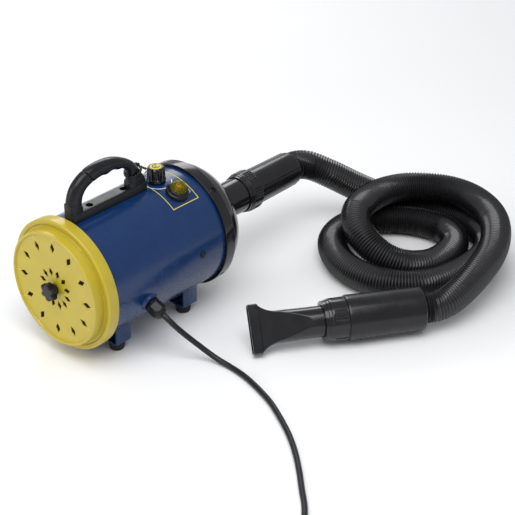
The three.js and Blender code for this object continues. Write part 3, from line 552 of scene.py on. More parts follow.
COIL_TURNS = [(54, 4.2), (46, 4.2), (38, 4.2), (42, 11.2), (50, 11.2), (46, 17.9), (54, 17.9)]
COIL_START = 130.3
PLUG_START = np.array([-69.0, -634.0, 17.6])


def coil_points():
    """Turns that wind in at floor level, out one layer up, and out again on top. Every turn
    keeps its radius and height for most of the way round and changes over the last quarter."""
    points = []
    for turn, (radius, height) in enumerate(COIL_TURNS):
        after = COIL_TURNS[min(turn + 1, len(COIL_TURNS) - 1)]
        t = np.arange(16) / 16
        change = smoothstep(0.72, 1.0, t)
        reach = radius + (after[0] - radius) * change
        z = height + (after[1] - height) * change
        angle = np.radians(COIL_START) + TAU * t
        points.append(np.column_stack([COIL_MIDDLE[0] + reach * np.cos(angle),
                                       COIL_MIDDLE[1] + reach * np.sin(angle), z]))
    last, height = COIL_TURNS[-1]
    angle = np.radians(np.arange(COIL_START, 270, 22.5))
    points.append(np.column_stack([COIL_MIDDLE[0] + last * np.cos(angle),
                                   COIL_MIDDLE[1] + last * np.sin(angle),
                                   np.full(len(angle), height)]))
    return np.vstack(points)


def power_route():
    straight = [(COIL_MIDDLE[0], COIL_MIDDLE[1] - COIL_TURNS[-1][0], 17.8), tuple(PLUG_START)]
    return np.vstack([np.array(CORD_ROUTE), coil_points(), np.array(straight)])


# ------------------------------------------------------------------ hose and cord
HOSE_R = 22.4


def make_hose():
    """Radius R - depth * |sin(pi s / pitch)|^1.5 along the hose's own length s."""
    pitch, depth = size("hose_pitch"), size("hose_depth")
    path, length = smooth_path(HOSE_ROUTE, pitch / 6)
    s = np.linspace(0, length, len(path))
    groove = np.abs(np.sin(math.pi * s / pitch)) ** 1.5
    hose = tube_on_path("hose_corrugated", path, HOSE_R - depth * groove, 34)
    # crest is 1 on the rings and 0 in the grooves; the hose material uses it to darken the grooves as painted
    # shade and to make them dull
    crest = hose.data.attributes.new("crest", "FLOAT", "POINT")
    crest.data.foreach_set("value", np.append(np.repeat(1 - groove, 34), [0, 0]).astype(np.float32))
    dress(hose, "ribs", "housing", ["hose"])
    centre = seat(path[::6])
    return hose, centre, length * MM


def make_cord():
    path, length = smooth_path(power_route(), 3.0)
    cord = tube_on_path("power_flex", path, np.full(len(path), 4.0), 16)
    dress(cord, "cord", "housing", ["power_cord", "cord_coil"])
    return cord, seat(path), length * MM


def make_cord_tie():
    """A strap once round the whole winding: a rounded oblong ring in a plane through its middle."""
    angle = math.radians(40)
    way = np.array([math.cos(angle), math.sin(angle), 0.0])
    loop = np.array([(32.6, -0.1), (59.2, -0.1), (59.2, 22.9), (32.6, 22.9)])
    outer = rounded(loop, 5, 5, closed=True)
    inner = rounded(loop + [(1.4, 1.3), (-1.4, 1.3), (-1.4, -1.3), (1.4, -1.3)], 4.2, 5, closed=True)
    middle = np.array([COIL_MIDDLE[0], COIL_MIDDLE[1], 0.2])
    across = np.array([-way[1], way[0], 0.0])
    sections = []
    for line, half in ((outer, -5), (outer, 5), (inner, 5), (inner, -5)):
        base = middle + line[:, :1] * way + line[:, 1:] * np.array([0, 0, 1.0])
        sections.append(base + half * across)
    tie = skin("cord_tie", np.stack(sections, axis=1), along_closed=True)
    return dress(tie, "matte", "housing")


def make_plug():
    """Strain relief with rings, body that swells to a round face, and two pins."""
    line = (PLUG_START, np.array([1.0, 0, 0]), np.array([0, 0, 1.0]))

    def waist(along, angle, reach):
        """The grip of the body is pressed in on two sides, deepest in the middle."""
        dip = 2.6 * np.exp(-((along - 44) / 8) ** 2) * np.abs(np.sin(angle)) ** 3
        rings = np.where((along > 3) & (along < 22), 0.7 * (np.sin(along * TAU / 3.6) < 0), 0)
        return reach - dip - rings * (reach > 4.5)

    corners = [(0, 4.3), (0, 5.2), (8, 5.6), (23, 7.2), (27, 10), (33, 15.8), (40, 17.4), (58, 17.4),
               (60, 16)]
    profile = rounded(corners, 2.0, 5)
    steps = np.concatenate([np.linspace(a, b, 24, endpoint=False) for a,
                            b in zip(profile[:-1], profile[1:])])
    body = skin("plug_body", turned_grid(steps, line, 72, waist))
    parts = [body]
    for across in (-9.5, 9.5):
        pin_line = (PLUG_START + np.array([0, across, 0]), line[1], line[2])
        parts.append(turned("pin", [(58, 2.4), (78, 2.4), (79, 1.2)], pin_line, 0.8, 32))
    parts[1].data.materials.append(FINISHES["steel"])
    parts[2].data.materials.append(FINISHES["steel"])
    body.data.materials.append(FINISHES["matte"])
    plug = join("mains_plug_moulded", parts)
    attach(plug, "housing")
    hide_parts("mains_plug")
    return plug


def grip_patches(count, teeth, sunk, first, last):
    """Patches spaced evenly round the piece with ribs along it, each a cosine of the turn; with
    sunk, every other patch is a shallow field instead."""
    def shape(along, angle, reach):
        turn = (angle * count / TAU + 0.25) % 1.0
        every_other = np.floor(angle * count / TAU + 0.25) % 2 < 0.5
        inside = smoothstep(0.3, 0.28, np.abs(turn - 0.5))
        ribs = 0.7 * np.cos(turn * TAU * teeth) - 0.2
        band = smoothstep(first - 0.3, first, along) * smoothstep(last + 0.3, last, along)
        return reach + np.where(every_other & sunk, -1.0, ribs) * inside * band * (reach > 29.6)
    return shape


def seams(angles, height, width, first, last, limit):
    """Raised lines along the piece at some angles, each height * exp(-(arc / width)^2)."""
    def shape(along, angle, reach):
        rise = np.zeros_like(angle)
        for seam in angles:
            arc = np.abs((angle - math.radians(seam) + math.pi) % TAU - math.pi) * reach
            rise = rise + height * np.exp(-((arc / width) ** 2))
        band = smoothstep(first, first + 1, along) * smoothstep(last, last - 1, along)
        return reach + rise * band * (reach > limit)
    return shape


def make_hose_fittings():
    ring = turned("outlet_collar", [(329, 26.8), (329, 28.2), (333.4, 28.2), (333.6, 29.2), (336.6, 29.2),
                  (337, 30.1), (338.9, 30.1), (340.1, 30.1), (353.8, 30.1), (355.7, 30.1), (355.7, 26.8)],
                  radius=0.4, segments=720, ring=True,
                  shape=grip_patches(6, 8, False, 339.6, 354.3))
    dress(ring, "gloss", "housing", ["outlet_ring"])
    cuff = turned("body_cuff_shell", [(356, 20), (356, 26.6), (372, 26.2), (420, 25.7), (444, 25.4),
                                      (446, 24.6),
                  (446, 20)], radius=0.8, segments=360, ring=True,
                  shape=seams((-37, 64, 143, 244), 0.9, 0.8, 357, 445, 24.0))
    dress(cuff, "hose", "housing", ["body_cuff"])
    sleeve = turned("hand_cuff_shell", [(0, 20), (0, 29.6), (2.5, 31), (108.6, 32.4), (111, 31.6),
                                        (111, 24),
                    (106, 20)], HAND_LINE, 0.8, 360, seams((60, 240), 0.5, 0.9, 3, 108, 28.0), ring=True)
    dress(sleeve, "hose", "housing", ["hand_cuff"])
    collar = turned("nozzle_collar", [(111.3, 22.6), (111.3, 30.4), (112.4, 30.4), (113.6, 30.4),
                                      (130.4, 30.4),
                    (131.6, 30.4), (134.6, 30.4), (135.4, 29.2), (139, 29.2),
                    (139.6, 27.9), (144.4, 27.9), (144.4, 22.6)], HAND_LINE, 0.4, 720,
                    grip_patches(6, 8, True, 113.1, 130.9), ring=True)
    dress(collar, "gloss", "nozzle_ring", ["nozzle_ring"])
    return [ring, cuff, sleeve, collar]


NECK_R, MOUTH_WIDE, MOUTH_THICK, MOUTH_TILT, MOUTH_END = 22.0, 35.4, 7.25, -38.0, 246.5


def make_fan_nozzle():
    """A round neck, (R cos a, R sin a), whose first side is cut off at plus and minus h, the half
    thickness, while its second is stretched to the half width; then tilted on the hand axis."""
    stations = np.concatenate([np.linspace(122, 160, 10), np.linspace(161, 232, 60),
                               [232.4, 232.8, 233.4, 236, 240, 245, 246, MOUTH_END]])
    wall = 1.6
    at = np.concatenate([stations, stations[::-1]])[:, None]
    inset = np.repeat([0.0, wall], len(stations))[:, None]
    lip = 1.1 * smoothstep(232.2, 233.2, at) - 0.7 * smoothstep(245, MOUTH_END, at)
    fall = np.clip((at - 160) / 58, 0, 1)
    half = NECK_R + (MOUTH_THICK - 0.8 - NECK_R) * (fall - 0.12 * np.sin(math.pi * fall)) + lip
    flare = np.clip((at - 207) / 26, 0, 1) ** 2.2
    wide = NECK_R + 0.6 * smoothstep(165, 205, at) + (MOUTH_WIDE - 2.2 - NECK_R) * flare + 1.4 * lip
    angle = np.linspace(0, TAU, 240, endpoint=False)[None, :]
    across = np.clip((NECK_R - inset) * np.cos(angle), inset - half, half - inset)
    up = (wide - inset) * np.sin(angle)
    tilt = math.radians(MOUTH_TILT)
    level = np.cross([0, 0, 1.0], HAND_WAY)
    sideways = across * math.cos(tilt) + up * math.sin(tilt)
    height = -across * math.sin(tilt) + up * math.cos(tilt)
    grid = (HAND_START + at[..., None] * HAND_WAY + sideways[..., None] * level
            + height[..., None] * np.array([0, 0, 1.0]))
    nozzle = skin("fan_nozzle_moulded", grid, along_closed=True, sharp=30)
    return dress(nozzle, "gloss", "fan_nozzle", ["fan_nozzle"])


# ------------------------------------------------------------------ body
def make_tube():
    """Radius 88 everywhere but at the gland, where 4 mm * a smooth step of the distance rises."""
    x = np.unique(np.concatenate([np.linspace(-12.5, 223, 30), np.arange(50, 82.1, 1.0)]))
    degrees = np.unique(np.concatenate([np.arange(0, 360, 1.5), np.arange(98, 122.1, 0.75)]))
    angle = np.radians(degrees)
    across, run = x[:, None], (angle[None, :] - math.radians(110)) * TUBE_R
    distance = np.hypot(across - 66, run)
    outer = TUBE_R + 4 * smoothstep(14.5, 12.2, distance)
    inner = np.full_like(outer, TUBE_R - 1.5)
    radius = np.vstack([outer, inner[::-1]])
    along = np.concatenate([x, x[::-1]])[:, None, None]
    way = np.stack([0 * angle, -np.sin(angle), np.cos(angle)], -1)[None]
    grid = np.array([0, 0, AXIS_Z]) + along * np.array([1.0, 0, 0]) + radius[..., None] * way
    tube = skin("tube_shell", grid, along_closed=True)
    return dress(tube, "blue", "housing", ["body_tube"])


def make_filter_cover():
    face, front = -28.6, -31.6
    corners = [(face, 0), (face, 78.4), (front, 79.8), (front, 82.4), (front + 1.2, 83.5), (-16.2, 83.5),
               (-15.2, 84.4), (-15.2, 87.7), (-16.7, 88.6), (-16.7, 93.6), (-15.4, 95.15), (0, 95.15),
               (0, 88.4), (-12.8, 88.4), (-12.8, 81.5), (-27.2, 81.5), (-27.2, 0)]
    profile = rounded(corners, 0.7, 4)
    cover = skin("intake_cover", turned_grid(profile[1:-1], BODY_LINE, 256))
    cutters = []
    for count, radius, first, length, width in ((12, 62.8, 0, 16.2, 8.8), (12, 24.7, 15, 14.2, 8.0)):
        for i in range(count):
            cutters.append(diamond_cutter(radius, first + 360 * i / count, length, width))
    cutters.append(turned("stud_hole", [(-40, 0), (-40, 3.6), (-20, 3.6), (-20, 0)], segments=32))
    carve(cover, cutters)
    return dress(cover, "yellow", "filter_cover", ["filter_cover"])


def diamond_cutter(radius, degrees, length, width):
    corners = np.array([(length / 2, 0), (0, width / 2), (-length / 2, 0), (0, -width / 2)])
    outline = rounded(corners, 0.7, 3, closed=True)
    way, side = outward(degrees), outward(degrees + 90)

    def frame_of(grid):
        return (np.array([0, 0, AXIS_Z]) + grid[..., 2:] * np.array([1.0, 0, 0])
                + (radius + grid[..., :1]) * way + grid[..., 1:2] * side)

    return prism("diamond", outline, -40, -22, frame_of)


def make_foam():
    foam = turned("foam_disc", [(-26.2, 4), (-26.2, 80.8), (-11.2, 80.8), (-11.2, 4)], radius=1.0,
                  segments=128, ring=True)
    return dress(foam, "foam", "filter_cover", ["filter_foam"])


def make_star_knob():
    """Six lobes: reach * (1 - 0.3 * ((1 - cos 6a) / 2)^1.3), with a round neck behind."""
    def lobes(along, angle, reach):
        share = smoothstep(-34.6, -35.6, along)
        wave = 1 - 0.3 * ((1 - np.cos(6 * angle)) / 2) ** 1.3 * share
        return reach * wave
    corners = [(-44, 0.01), (-44, 12), (-42.4, 14), (-36.5, 14), (-35, 12.6), (-34, 8), (-28.9, 8),
               (-28.9, 3.4), (-40, 3.4), (-40, 0.01)]
    profile = rounded(corners, 1.4, 5)
    knob = skin("star_knob", turned_grid(profile, BODY_LINE, 144, lobes))
    return dress(knob, "matte", "cover_knob", ["cover_knob"])


def make_rear_cover():
    corners = [(210, 92.5), (226.5, 92.5), (227.6, 91.2), (227.8, 88.4), (240, 84), (250, 77), (257, 70.2),
               (264, 61.5), (274, 48), (281, 36), (286, 28), (290, 26.5), (352, 26.5), (352, 24), (286, 24),
               (278, 33), (262, 59), (248, 74.5), (238, 81.3), (223.3, 85), (223.3, 88.3), (210, 88.3)]
    rounding = np.array([0.8, 1, 0.6, 0.6, 5, 5, 4, 5, 5, 4, 3, 3, 0.5, 0.5, 2, 3, 5, 5, 4, 0.5, 0.5, 0.5])
    profile = rounded(corners, rounding[:, None], 5, closed=True)
    cover = skin("dome_cover", turned_grid(profile, BODY_LINE, 256), along_closed=True)
    cutters = []
    for angle in SCREW_ANGLES:
        cutters.append(turned("recess", [(90.3, 0), (90.3, 3.9), (91.4, 4.2), (96, 4.9), (96, 0)],
                              square_line(219, angle), 0.1, 40))
    carve(cover, cutters)
    return dress(cover, "gloss", "housing", ["rear_cover"])


SCREW_ANGLES = [38, 128, 218, 308]


def screw_head(name, line, base, radius, height, shank):
    """A low dome with a cross recess: height falls by a smooth cross-shaped step near the middle."""
    reach = np.linspace(0, 1, 14)[1:]
    rows = [(shank, 1.6), (base, 1.6), (base, radius)]
    crown = [(base + height * math.sqrt(max(0, 1 - (0.86 * r) ** 2)), radius * r) for r in reach[::-1]]
    profile = np.array(rows + crown)
    grid = turned_grid(profile, line, 48)
    start, way, zero = line
    side = np.cross(way, zero)
    local = grid - start
    u, v = local @ zero, local @ side
    arm = np.minimum(np.abs(u), np.abs(v))
    length = np.maximum(np.abs(u), np.abs(v))
    sink = 0.9 * smoothstep(0.62, 0.4, arm) * smoothstep(radius * 0.66, radius * 0.5, length)
    top = (local @ way > base + 0.2)
    return skin(name, grid - (sink * top)[..., None] * way)


def make_screws():
    made = []
    for number, angle in enumerate(SCREW_ANGLES, 1):
        screw = screw_head(f"rim_screw_{number}", square_line(219, angle), 90.6, 3.5, 1.3, 84)
        made.append(dress(screw, "gloss", "housing", [f"cover_screw_{number}"]))
    for number, x in enumerate((40.6, 102.6), 1):
        screw = screw_head(f"bar_screw_{number}", upright_line(x, 0), 200.3, 4.3, 1.8, 187)
        made.append(dress(screw, "matte", "housing", [f"handle_screw_{number}"]))
    return made


def make_foot(x, side, place):
    """A folded channel: one line of section (y, z) with a wall's thickness, cut to the tube."""
    y, half, low, wall = 46.0, 15.0, 14.0, 2.0
    inner, outer = y - half, y + half

    def meets(across):
        return AXIS_Z - math.sqrt((TUBE_R + 0.3) ** 2 - across**2)

    section = np.array([(outer, meets(outer)), (outer, low), (inner, low), (inner, meets(inner)),
                        (inner + wall, meets(inner + wall)), (inner + wall, low + wall),
                        (outer - wall, low + wall), (outer - wall, meets(outer - wall))])
    line = rounded(section, np.array([0.1, 3.2, 3.2, 0.1, 0.1, 1.8, 1.8, 0.1])[:, None], 5, closed=True)
    line[:, 0] *= side
    ends = [x - 13.5, x - 13.1, x + 13.1, x + 13.5]
    insets = [0.3, 0.0, 0.0, 0.3]
    centre = np.array([side * y, low + 10])
    rows = [np.column_stack([np.full(len(line), px), line + unit_rows(centre - line) * inset])
            for px, inset in zip(ends, insets)]
    bracket = skin_with_flat_ends(f"bracket_{place}", np.stack(rows))
    dress(bracket, "blue", "housing", [f"foot_bracket_{place}"])
    foot = turned(f"foot_{place}", [(4, 2.4), (4, 4.5), (0.02, 4.5), (0.02, 9.2), (1.2, 10.2), (11.5, 11.7),
                  (13.7, 11.7), (13.7, 2.4)], upright_line(x, side * y), 0.7, 96, ring=True)
    dress(foot, "rubber", "housing", [f"rubber_foot_{place}"])
    screw = screw_head(f"foot_screw_{place}", (np.array([x, side * y, 0.0]), np.array([0, 0, 1.0]),
                                               np.array([1.0, 0, 0])),
                       16.1, 4.0, 1.5, 4.5)
    dress(screw, "steel", "housing")
    return [bracket, foot, screw]


def unit_rows(vectors):
    return vectors / (np.linalg.norm(vectors, axis=1, keepdims=True) + 1e-9)


def skin_with_flat_ends(name, grid):
    """As skin, but with each end one many-cornered face, for sections that aren't round."""
    rows, columns = grid.shape[:2]
    points = grid.reshape(-1, 3)
    faces = skin_faces(rows, columns, False)
    faces.append(list(range(columns))[::-1])
    faces.append([(rows - 1) * columns + i for i in range(columns)])
    if signed_volume(points, faces) < 0:
        faces = [face[::-1] for face in faces]
    return make_object(name, points, faces)


# ------------------------------------------------------------------ controls
def make_controls():
    made = []
    line = square_line(170, 23.8)
    start, way, zero = line
    side = np.cross(way, zero)
    corners = [(86, 12.7), (88.2, 16.5), (92, 16.5), (93.2, 15), (93.4, 14), (97, 13.4), (97.6, 12.2),
               (97.6, 10.3), (84, 10.3), (84, 12.7)]
    profile = rounded(corners, 0.8, 4, closed=True)
    grid = turned_grid(profile, line, 128)
    local = grid - start
    tangent = local @ side
    height = local @ way
    surface = np.sqrt(np.maximum(0, (TUBE_R + 0.25) ** 2 - tangent**2))
    outside = np.linalg.norm(local - height[..., None] * way, axis=-1) > 12.9
    lift = np.where(outside & (height < 90), np.maximum(0, surface - height), 0)
    drop = np.where(outside & (height < 90) & (height > surface), surface - height, 0)
    boot = skin("switch_boot", grid + (lift + drop)[..., None] * way, along_closed=True)
    made.append(dress(boot, "matte", "housing", ["switch_bezel"]))
    dome = [(99.2 + 8.8 * math.sin(a), 10.4 * math.cos(a)) for a in np.linspace(0, math.pi / 2, 14)]
    hollow = [(99.2 + 7.8 * math.sin(a), 9.4 * math.cos(a)) for a in np.linspace(math.pi / 2, 0, 14)]
    outline = np.array([(97.8, 9.4), (97.8, 11.8), (98.8, 11.8),
                        (99.2, 11.2)] + dome[:-1] + [(108, 0.02), (107, 0.02)] + hollow[1:])
    lens = skin("switch_cap", turned_grid(outline, line, 96), along_closed=True)
    made.append(dress(lens, "lens", "housing", ["switch_lens"]))
    made.append(make_rocker(line))
    knob_line = upright_line(165, 0, AXIS_Z)

    def ribs(along, angle, reach):
        """Flat-topped ribs: a squashed cosine of a whole number of times the angle."""
        ribs = bpy.context.scene.dryer_sizes.knob_ribs
        wave = np.clip(1.8 * np.cos(ribs * angle) + 0.4, -1, 1)
        side_way = angle % (TAU / ribs) - math.pi / ribs
        facet = math.cos(math.pi / ribs) / np.cos(side_way)
        reach = np.where((along < 93) & (reach > 9), reach * facet, reach)
        band = smoothstep(92.5, 94.5, along) * smoothstep(110.3, 109.6, along) * (reach > 9)
        return reach - 0.85 * (1 - wave) * band

    corners = [(88.6, 0.02), (88.6, 14.2), (91, 14.2), (93.2, 13.2), (96, 12.9), (108.2, 12.5),
               (110.6, 10.3),
               (110.6, 9), (109, 8.9), (109, 0.02)]
    steps = rounded(corners, 0.7, 4)
    knob = skin("speed_knob_moulded", turned_grid(steps, knob_line, 280, ribs))
    made.append(dress(knob, "gloss", "speed_knob", ["speed_knob"]))
    insert = turned("knob_badge", [(109.2, 0.02), (109.2, 8.6), (110.7, 8.6), (111, 7.8),
                                   (111.05, 0.02)], knob_line, 0.3, 96)
    made.append(dress(insert, "insert", "speed_knob", ["knob_insert"]))
    made.append(make_knob_symbol())
    plug = turned("side_plug", [(84, 0.02), (84, 3.3), (88.1, 3.3), (88.1, 5), (89.4, 5), (90.2, 3.6),
                                (90.3, 0.02)],
                  square_line(165.9, 88), 0.5, 64)
    made.append(dress(plug, "matte", "housing", ["hole_plug"]))
    return made


def make_rocker(line):
    """Section along X of a rocker with a dished top, pushed across, tipped to its off side."""
    start, way, zero = line
    side = np.cross(way, zero)
    section = rounded([(-6, -2.5), (6, -2.5), (5.4, 4.4), (3.6, 6.3), (0, 5.6), (-3.6, 6.3),
                       (-5.4, 4.4)], 0.6, 4, closed=True)
    tip = bpy.context.scene.dryer_sizes.switch_tip
    u = section[:, 0] * math.cos(tip) - section[:, 1] * math.sin(tip)
    w = section[:, 0] * math.sin(tip) + section[:, 1] * math.cos(tip)
    rows = []
    for across, inset in ((-4.4, 0.94), (-4.0, 1.0), (4.0, 1.0), (4.4, 0.94)):
        rows.append(start + (u * inset)[:, None] * zero + (97 + w * inset)[:, None] * way + across * side)
    rocker = skin_with_flat_ends("rocker_moulded", np.stack(rows))
    return dress(rocker, "orange", "power_rocker", ["switch_rocker"])


def film_on_tube(name, rows, finish):
    """A printed strip on the tube: rows of (x, degrees) edge pairs, laid at one radius."""
    rows = np.asarray(rows, float)
    top, base = TUBE_R + 0.16, TUBE_R - 0.1
    grid = []
    for edge, radius in ((0, base), (0, top), (1, top), (1, base)):
        angle = np.radians(rows[:, edge, 1])
        grid.append(np.stack([rows[:, edge, 0], -radius * np.sin(angle),
                              AXIS_Z + radius * np.cos(angle)], -1))
    strip = skin_with_flat_ends(name, np.stack(grid, axis=1))
    return dress(strip, finish, "housing")


def make_print():
    """The frame line of the control panel, the speed scale, and the plain marks by the switch."""
    degree = math.degrees(1 / TUBE_R)
    x0, x1, limit, line = 145.2, 193.3, 37.35, 1.2
    made = []
    for name, x in (("front", x0), ("rear", x1)):
        sweep = np.linspace(-limit, limit, 90)
        made.append(film_on_tube(f"panel_line_{name}", [((x - line / 2, a),
                                                         (x + line / 2, a)) for a in sweep],
                                                         "print_yellow"))
    for name, angle in (("near", limit), ("far", -limit)):
        run = np.linspace(x0 - line / 2, x1 + line / 2, 12)
        half = line / 2 * degree
        made.append(film_on_tube(f"panel_line_{name}", [((x, angle - half),
                                                         (x, angle + half)) for x in run], "print_yellow"))
    sweep = np.radians(np.linspace(-150, 150, 90))
    arc = []
    for turn, share in zip(sweep, np.linspace(0, 1, 90)):
        width = 0.5 + 1.3 * share
        ends = [(165 - (21.5 + s * width / 2) * math.cos(turn),
                 (21.5 + s * width / 2) * math.sin(turn) * degree) for s in (-1, 1)]
        arc.append(tuple(ends))
    made.append(film_on_tube("speed_scale", arc, "print_white"))
    for number, (x, angle, length) in enumerate(((182, 14.5, 5), (184.5, 14.5, 3), (186.5, 27, 8),
                                                 (189, 27, 6))):
        run = np.linspace(-length / 2, length / 2, 5) * degree
        made.append(film_on_tube(f"switch_mark_{number}", [((x - 0.5, angle + a),
                                                            (x + 0.5, angle + a)) for a in run],
                                                            "print_white"))
    return made


def make_knob_symbol():
    """A round arrow cut from thin film: a ring from 30 to 320 degrees with a dot inside."""
    made = []
    line = upright_line(165, 0, AXIS_Z)
    angle = np.radians(np.linspace(30, 320, 60))
    sections = []
    for reach, z in ((3.8, 110.9), (3.8, 111.25), (5.6, 111.25), (5.6, 110.9)):
        sections.append(np.stack([165 + reach * np.cos(angle), reach * np.sin(angle),
                                  np.full(60, AXIS_Z + z)], -1))
    made.append(skin_with_flat_ends("arrow_ring", np.stack(sections, axis=1)))
    made.append(turned("arrow_dot", [(110.9, 0.02), (110.9, 1.7), (111.25, 1.7), (111.25, 0.02)], line,
                       0.1, 32))
    symbol = join("knob_symbol", made)
    return dress(symbol, "matte", "speed_knob")


# ------------------------------------------------------------------ handle
OUTER_ARCH = [(1.3, 204), (1.7, 221.5), (9.1, 241), (24.2, 254.4), (46.1, 262.3), (73.1, 262.9),
              (94.6, 257.3), (117.9, 243.9), (130.2, 228.4), (139, 210), (140.5, 201)]
INNER_ARCH = [(24.7, 201), (24.7, 215.2), (27.3, 226.2), (35.1, 235.2), (53.5, 241.5), (68.2, 243.2),
              (90.1, 242.6), (106, 235), (111.5, 222), (109.5, 212), (108, 201)]


def arch_stations(count):
    """Points at even shares of the length of the outer and the inner line of the arch."""
    lines = []
    for line in (OUTER_ARCH, INNER_ARCH):
        flat = np.array([(x, 0, z) for x, z in line], float)
        path, _ = smooth_path(flat, 1.0)
        length = np.concatenate([[0], np.cumsum(np.linalg.norm(np.diff(path, axis=0), axis=1))])
        share = np.linspace(0, length[-1], count)
        lines.append(np.column_stack([np.interp(share, length, path[:, k]) for k in (0, 2)]))
    return lines


def arch_piece(name, first, last, half_width):
    """A tube whose section at each station spans from the inner to the outer line of the arch:
    centre + half span * |cos|^n and half width * |sin|^n, with n from round (0.85) in the grip to
    squarish (0.57) in the sockets of the legs. Seams pinch it, and bumps hang below the grip."""
    count = 361
    outer, inner = arch_stations(count)
    keep = slice(round(first * (count - 1)), round(last * (count - 1)) + 1)
    outer, inner = outer[keep], inner[keep]
    share = np.linspace(first, last, len(outer))
    centre, span = (outer + inner) / 2, (outer - inner) / 2
    socket = smoothstep(0.084, 0.080, share) + smoothstep(0.916, 0.920, share)
    power = (0.85 - 0.28 * socket)[:, None]
    angle = np.linspace(0, TAU, 64, endpoint=False)[None, :]
    across = np.sign(np.sin(angle)) * np.abs(np.sin(angle)) ** power
    along = np.sign(np.cos(angle)) * np.abs(np.cos(angle)) ** power
    seam = np.minimum(np.abs(share - SEAM_FRONT), np.abs(share - SEAM_REAR)) * count
    pinch = 1 + 0.035 * socket - 0.13 * np.exp(-((seam / 1.3) ** 2))
    bumps = 2.4 * np.exp(-(((inner[:, 0] - 70) / 5.5) ** 2)) + 2.0 * np.exp(-(((inner[:, 0] - 91) / 5.5) ** 2))
    bumps = bumps * (share > SEAM_FRONT) * (share < SEAM_REAR)
    hang = np.clip(-along, 0, 1) * (bumps / np.linalg.norm(span, axis=1))[:, None]
    reach = (along - hang) * pinch[:, None]
    x = centre[:, :1] + span[:, :1] * reach
    z = centre[:, 1:] + span[:, 1:] * reach
    y = half_width * across * pinch[:, None]
    return skin(name, np.stack([x, y, z], -1), sharp=45)


SEAM_FRONT, SEAM_REAR = 0.335, 0.70


def make_handle():
    front = arch_piece("handle_leg_front", 0.0, SEAM_FRONT, 8.6)
    rear = arch_piece("handle_leg_rear", SEAM_REAR, 1.0, 8.6)
    grip = arch_piece("handle_grip_moulded", SEAM_FRONT, SEAM_REAR, 9.2)
    bar = make_handle_bar()
    frame_piece = join("handle_frame_moulded", [bar, front, rear])
    dress(frame_piece, "matte", "housing", ["handle_frame"])
    dress(grip, "grip", "housing", ["handle_grip"])
    return [frame_piece, grip, *make_leg_tie()]


def make_leg_tie():
    """A beaded tie around the rear leg: a loop with a tail at each end, swelling at every bead."""
    t = np.linspace(0, TAU, 60, endpoint=False)
    middle = np.array([121.8, 0, 225.0])
    lean = unit([0.93, 0, 0.36])
    loop = middle + 11.9 * np.cos(t)[:, None] * lean + 11.2 * np.sin(t)[:, None] * np.array([0, 1.0, 0])
    start = np.array([(143, -4, 222.5), (140, -4.5, 224), (137, -2.5, 226.5)])
    tail = np.array([(110.4, -3.5, 223.5), (107.6, -5, 227.5), (107.2, -5, 231.5), (108.6, -4, 235.5)])
    path, length = smooth_path(np.vstack([start, loop, loop[:31] + [0, 0, 2.6], tail]), 0.6)
    s = np.linspace(0, length, len(path))
    tie = tube_on_path("leg_tie", path, 0.8 + 1.1 * np.abs(np.sin(math.pi * s / 3.6)), 14)
    end_line = (np.array([108.6, -4, 235.5]), unit([0.3, 0.1, 0.9]), unit([0.9, 0, -0.3]))
    cap = turned("leg_tie_end", [(-0.5, 0.02), (-0.5, 1.6), (3.4, 1.6), (3.8, 0.02)], end_line, 0.4, 24)
    return [dress(tie, "cord", "housing"), dress(cap, "brass", "housing")]


def make_handle_bar():
    """A bar with round ends: its outline in plan at each height, its underside on the tube."""
    x0, x1, half = 1.3, 141.5, 9.2
    outline = rounded([(x0, -half), (x1, -half), (x1, half), (x0, half)], 6, 8, closed=True)
    long_edges = []
    for a, b in zip(outline, np.roll(outline, -1, 0)):
        steps = max(1, int(np.linalg.norm(b - a) / 6))
        long_edges.append(a + (b - a) * (np.arange(steps) / steps)[:, None])
    outline = np.vstack(long_edges)
    middle = np.array([(x0 + x1) / 2, 0])
    top = 205.8
    under = AXIS_Z + np.sqrt((TUBE_R + 0.3) ** 2 - outline[:, 1] ** 2)
    rows = [np.column_stack([outline, under])]
    for drop, inset in ((1.6, 0.0), (0.8, 0.25), (0.25, 0.7), (0.0, 1.5)):
        shrunk = outline + np.clip(middle - outline, -inset, inset)
        rows.append(np.column_stack([shrunk, np.full(len(outline), top - drop)]))
    bar = skin_with_flat_ends("handle_bar", np.stack(rows))
    cutters = [turned("seat", [(200, 0), (200, 4.9), (205, 5.2), (212, 5.8), (212, 0)],
                      upright_line(x, 0), 0.1, 48) for x in (40.6, 102.6)]
    return carve(bar, cutters)


# ------------------------------------------------------------------ gland
def make_gland():
    line = square_line(66, 110)
    corners = np.array([(math.cos(a), math.sin(a)) for a in np.arange(6) * TAU / 6]) * 12.7
    hexagon = rounded(corners, 1.2, 3, closed=True)
    start, way, zero = line
    side = np.cross(way, zero)
    rows = []
    for height, inset in ((92.3, 0.97), (92.8, 1.0), (96.4, 1.0), (97.0, 0.95)):
        rows.append(start + height * way + hexagon[:, :1] * inset * zero + hexagon[:, 1:] * inset * side)
    body = skin_with_flat_ends("gland_hex", np.stack(rows))
    dress(body, "matte", "housing", ["gland_body"])

    def six_sided(along, angle, reach):
        """The distance to a hexagon's side, and never more than the round bar it is cut from."""
        side_way = (angle + math.pi / 6) % (TAU / 6) - math.pi / 6
        flat = 10.4 / np.cos(side_way) + 0 * reach
        return np.where(reach > 6, np.minimum(reach, flat), reach)

    nut = turned("gland_cap", [(97.3, 4.3), (97.3, 11.6), (107.5, 11.8), (112, 10.2), (115, 7.6),
                               (116, 5.6),
                 (116, 4.3)], line, 1.0, 192, six_sided, ring=True, sharp=20)
    dress(nut, "matte", "housing", ["gland_nut"])
    return [body, nut]


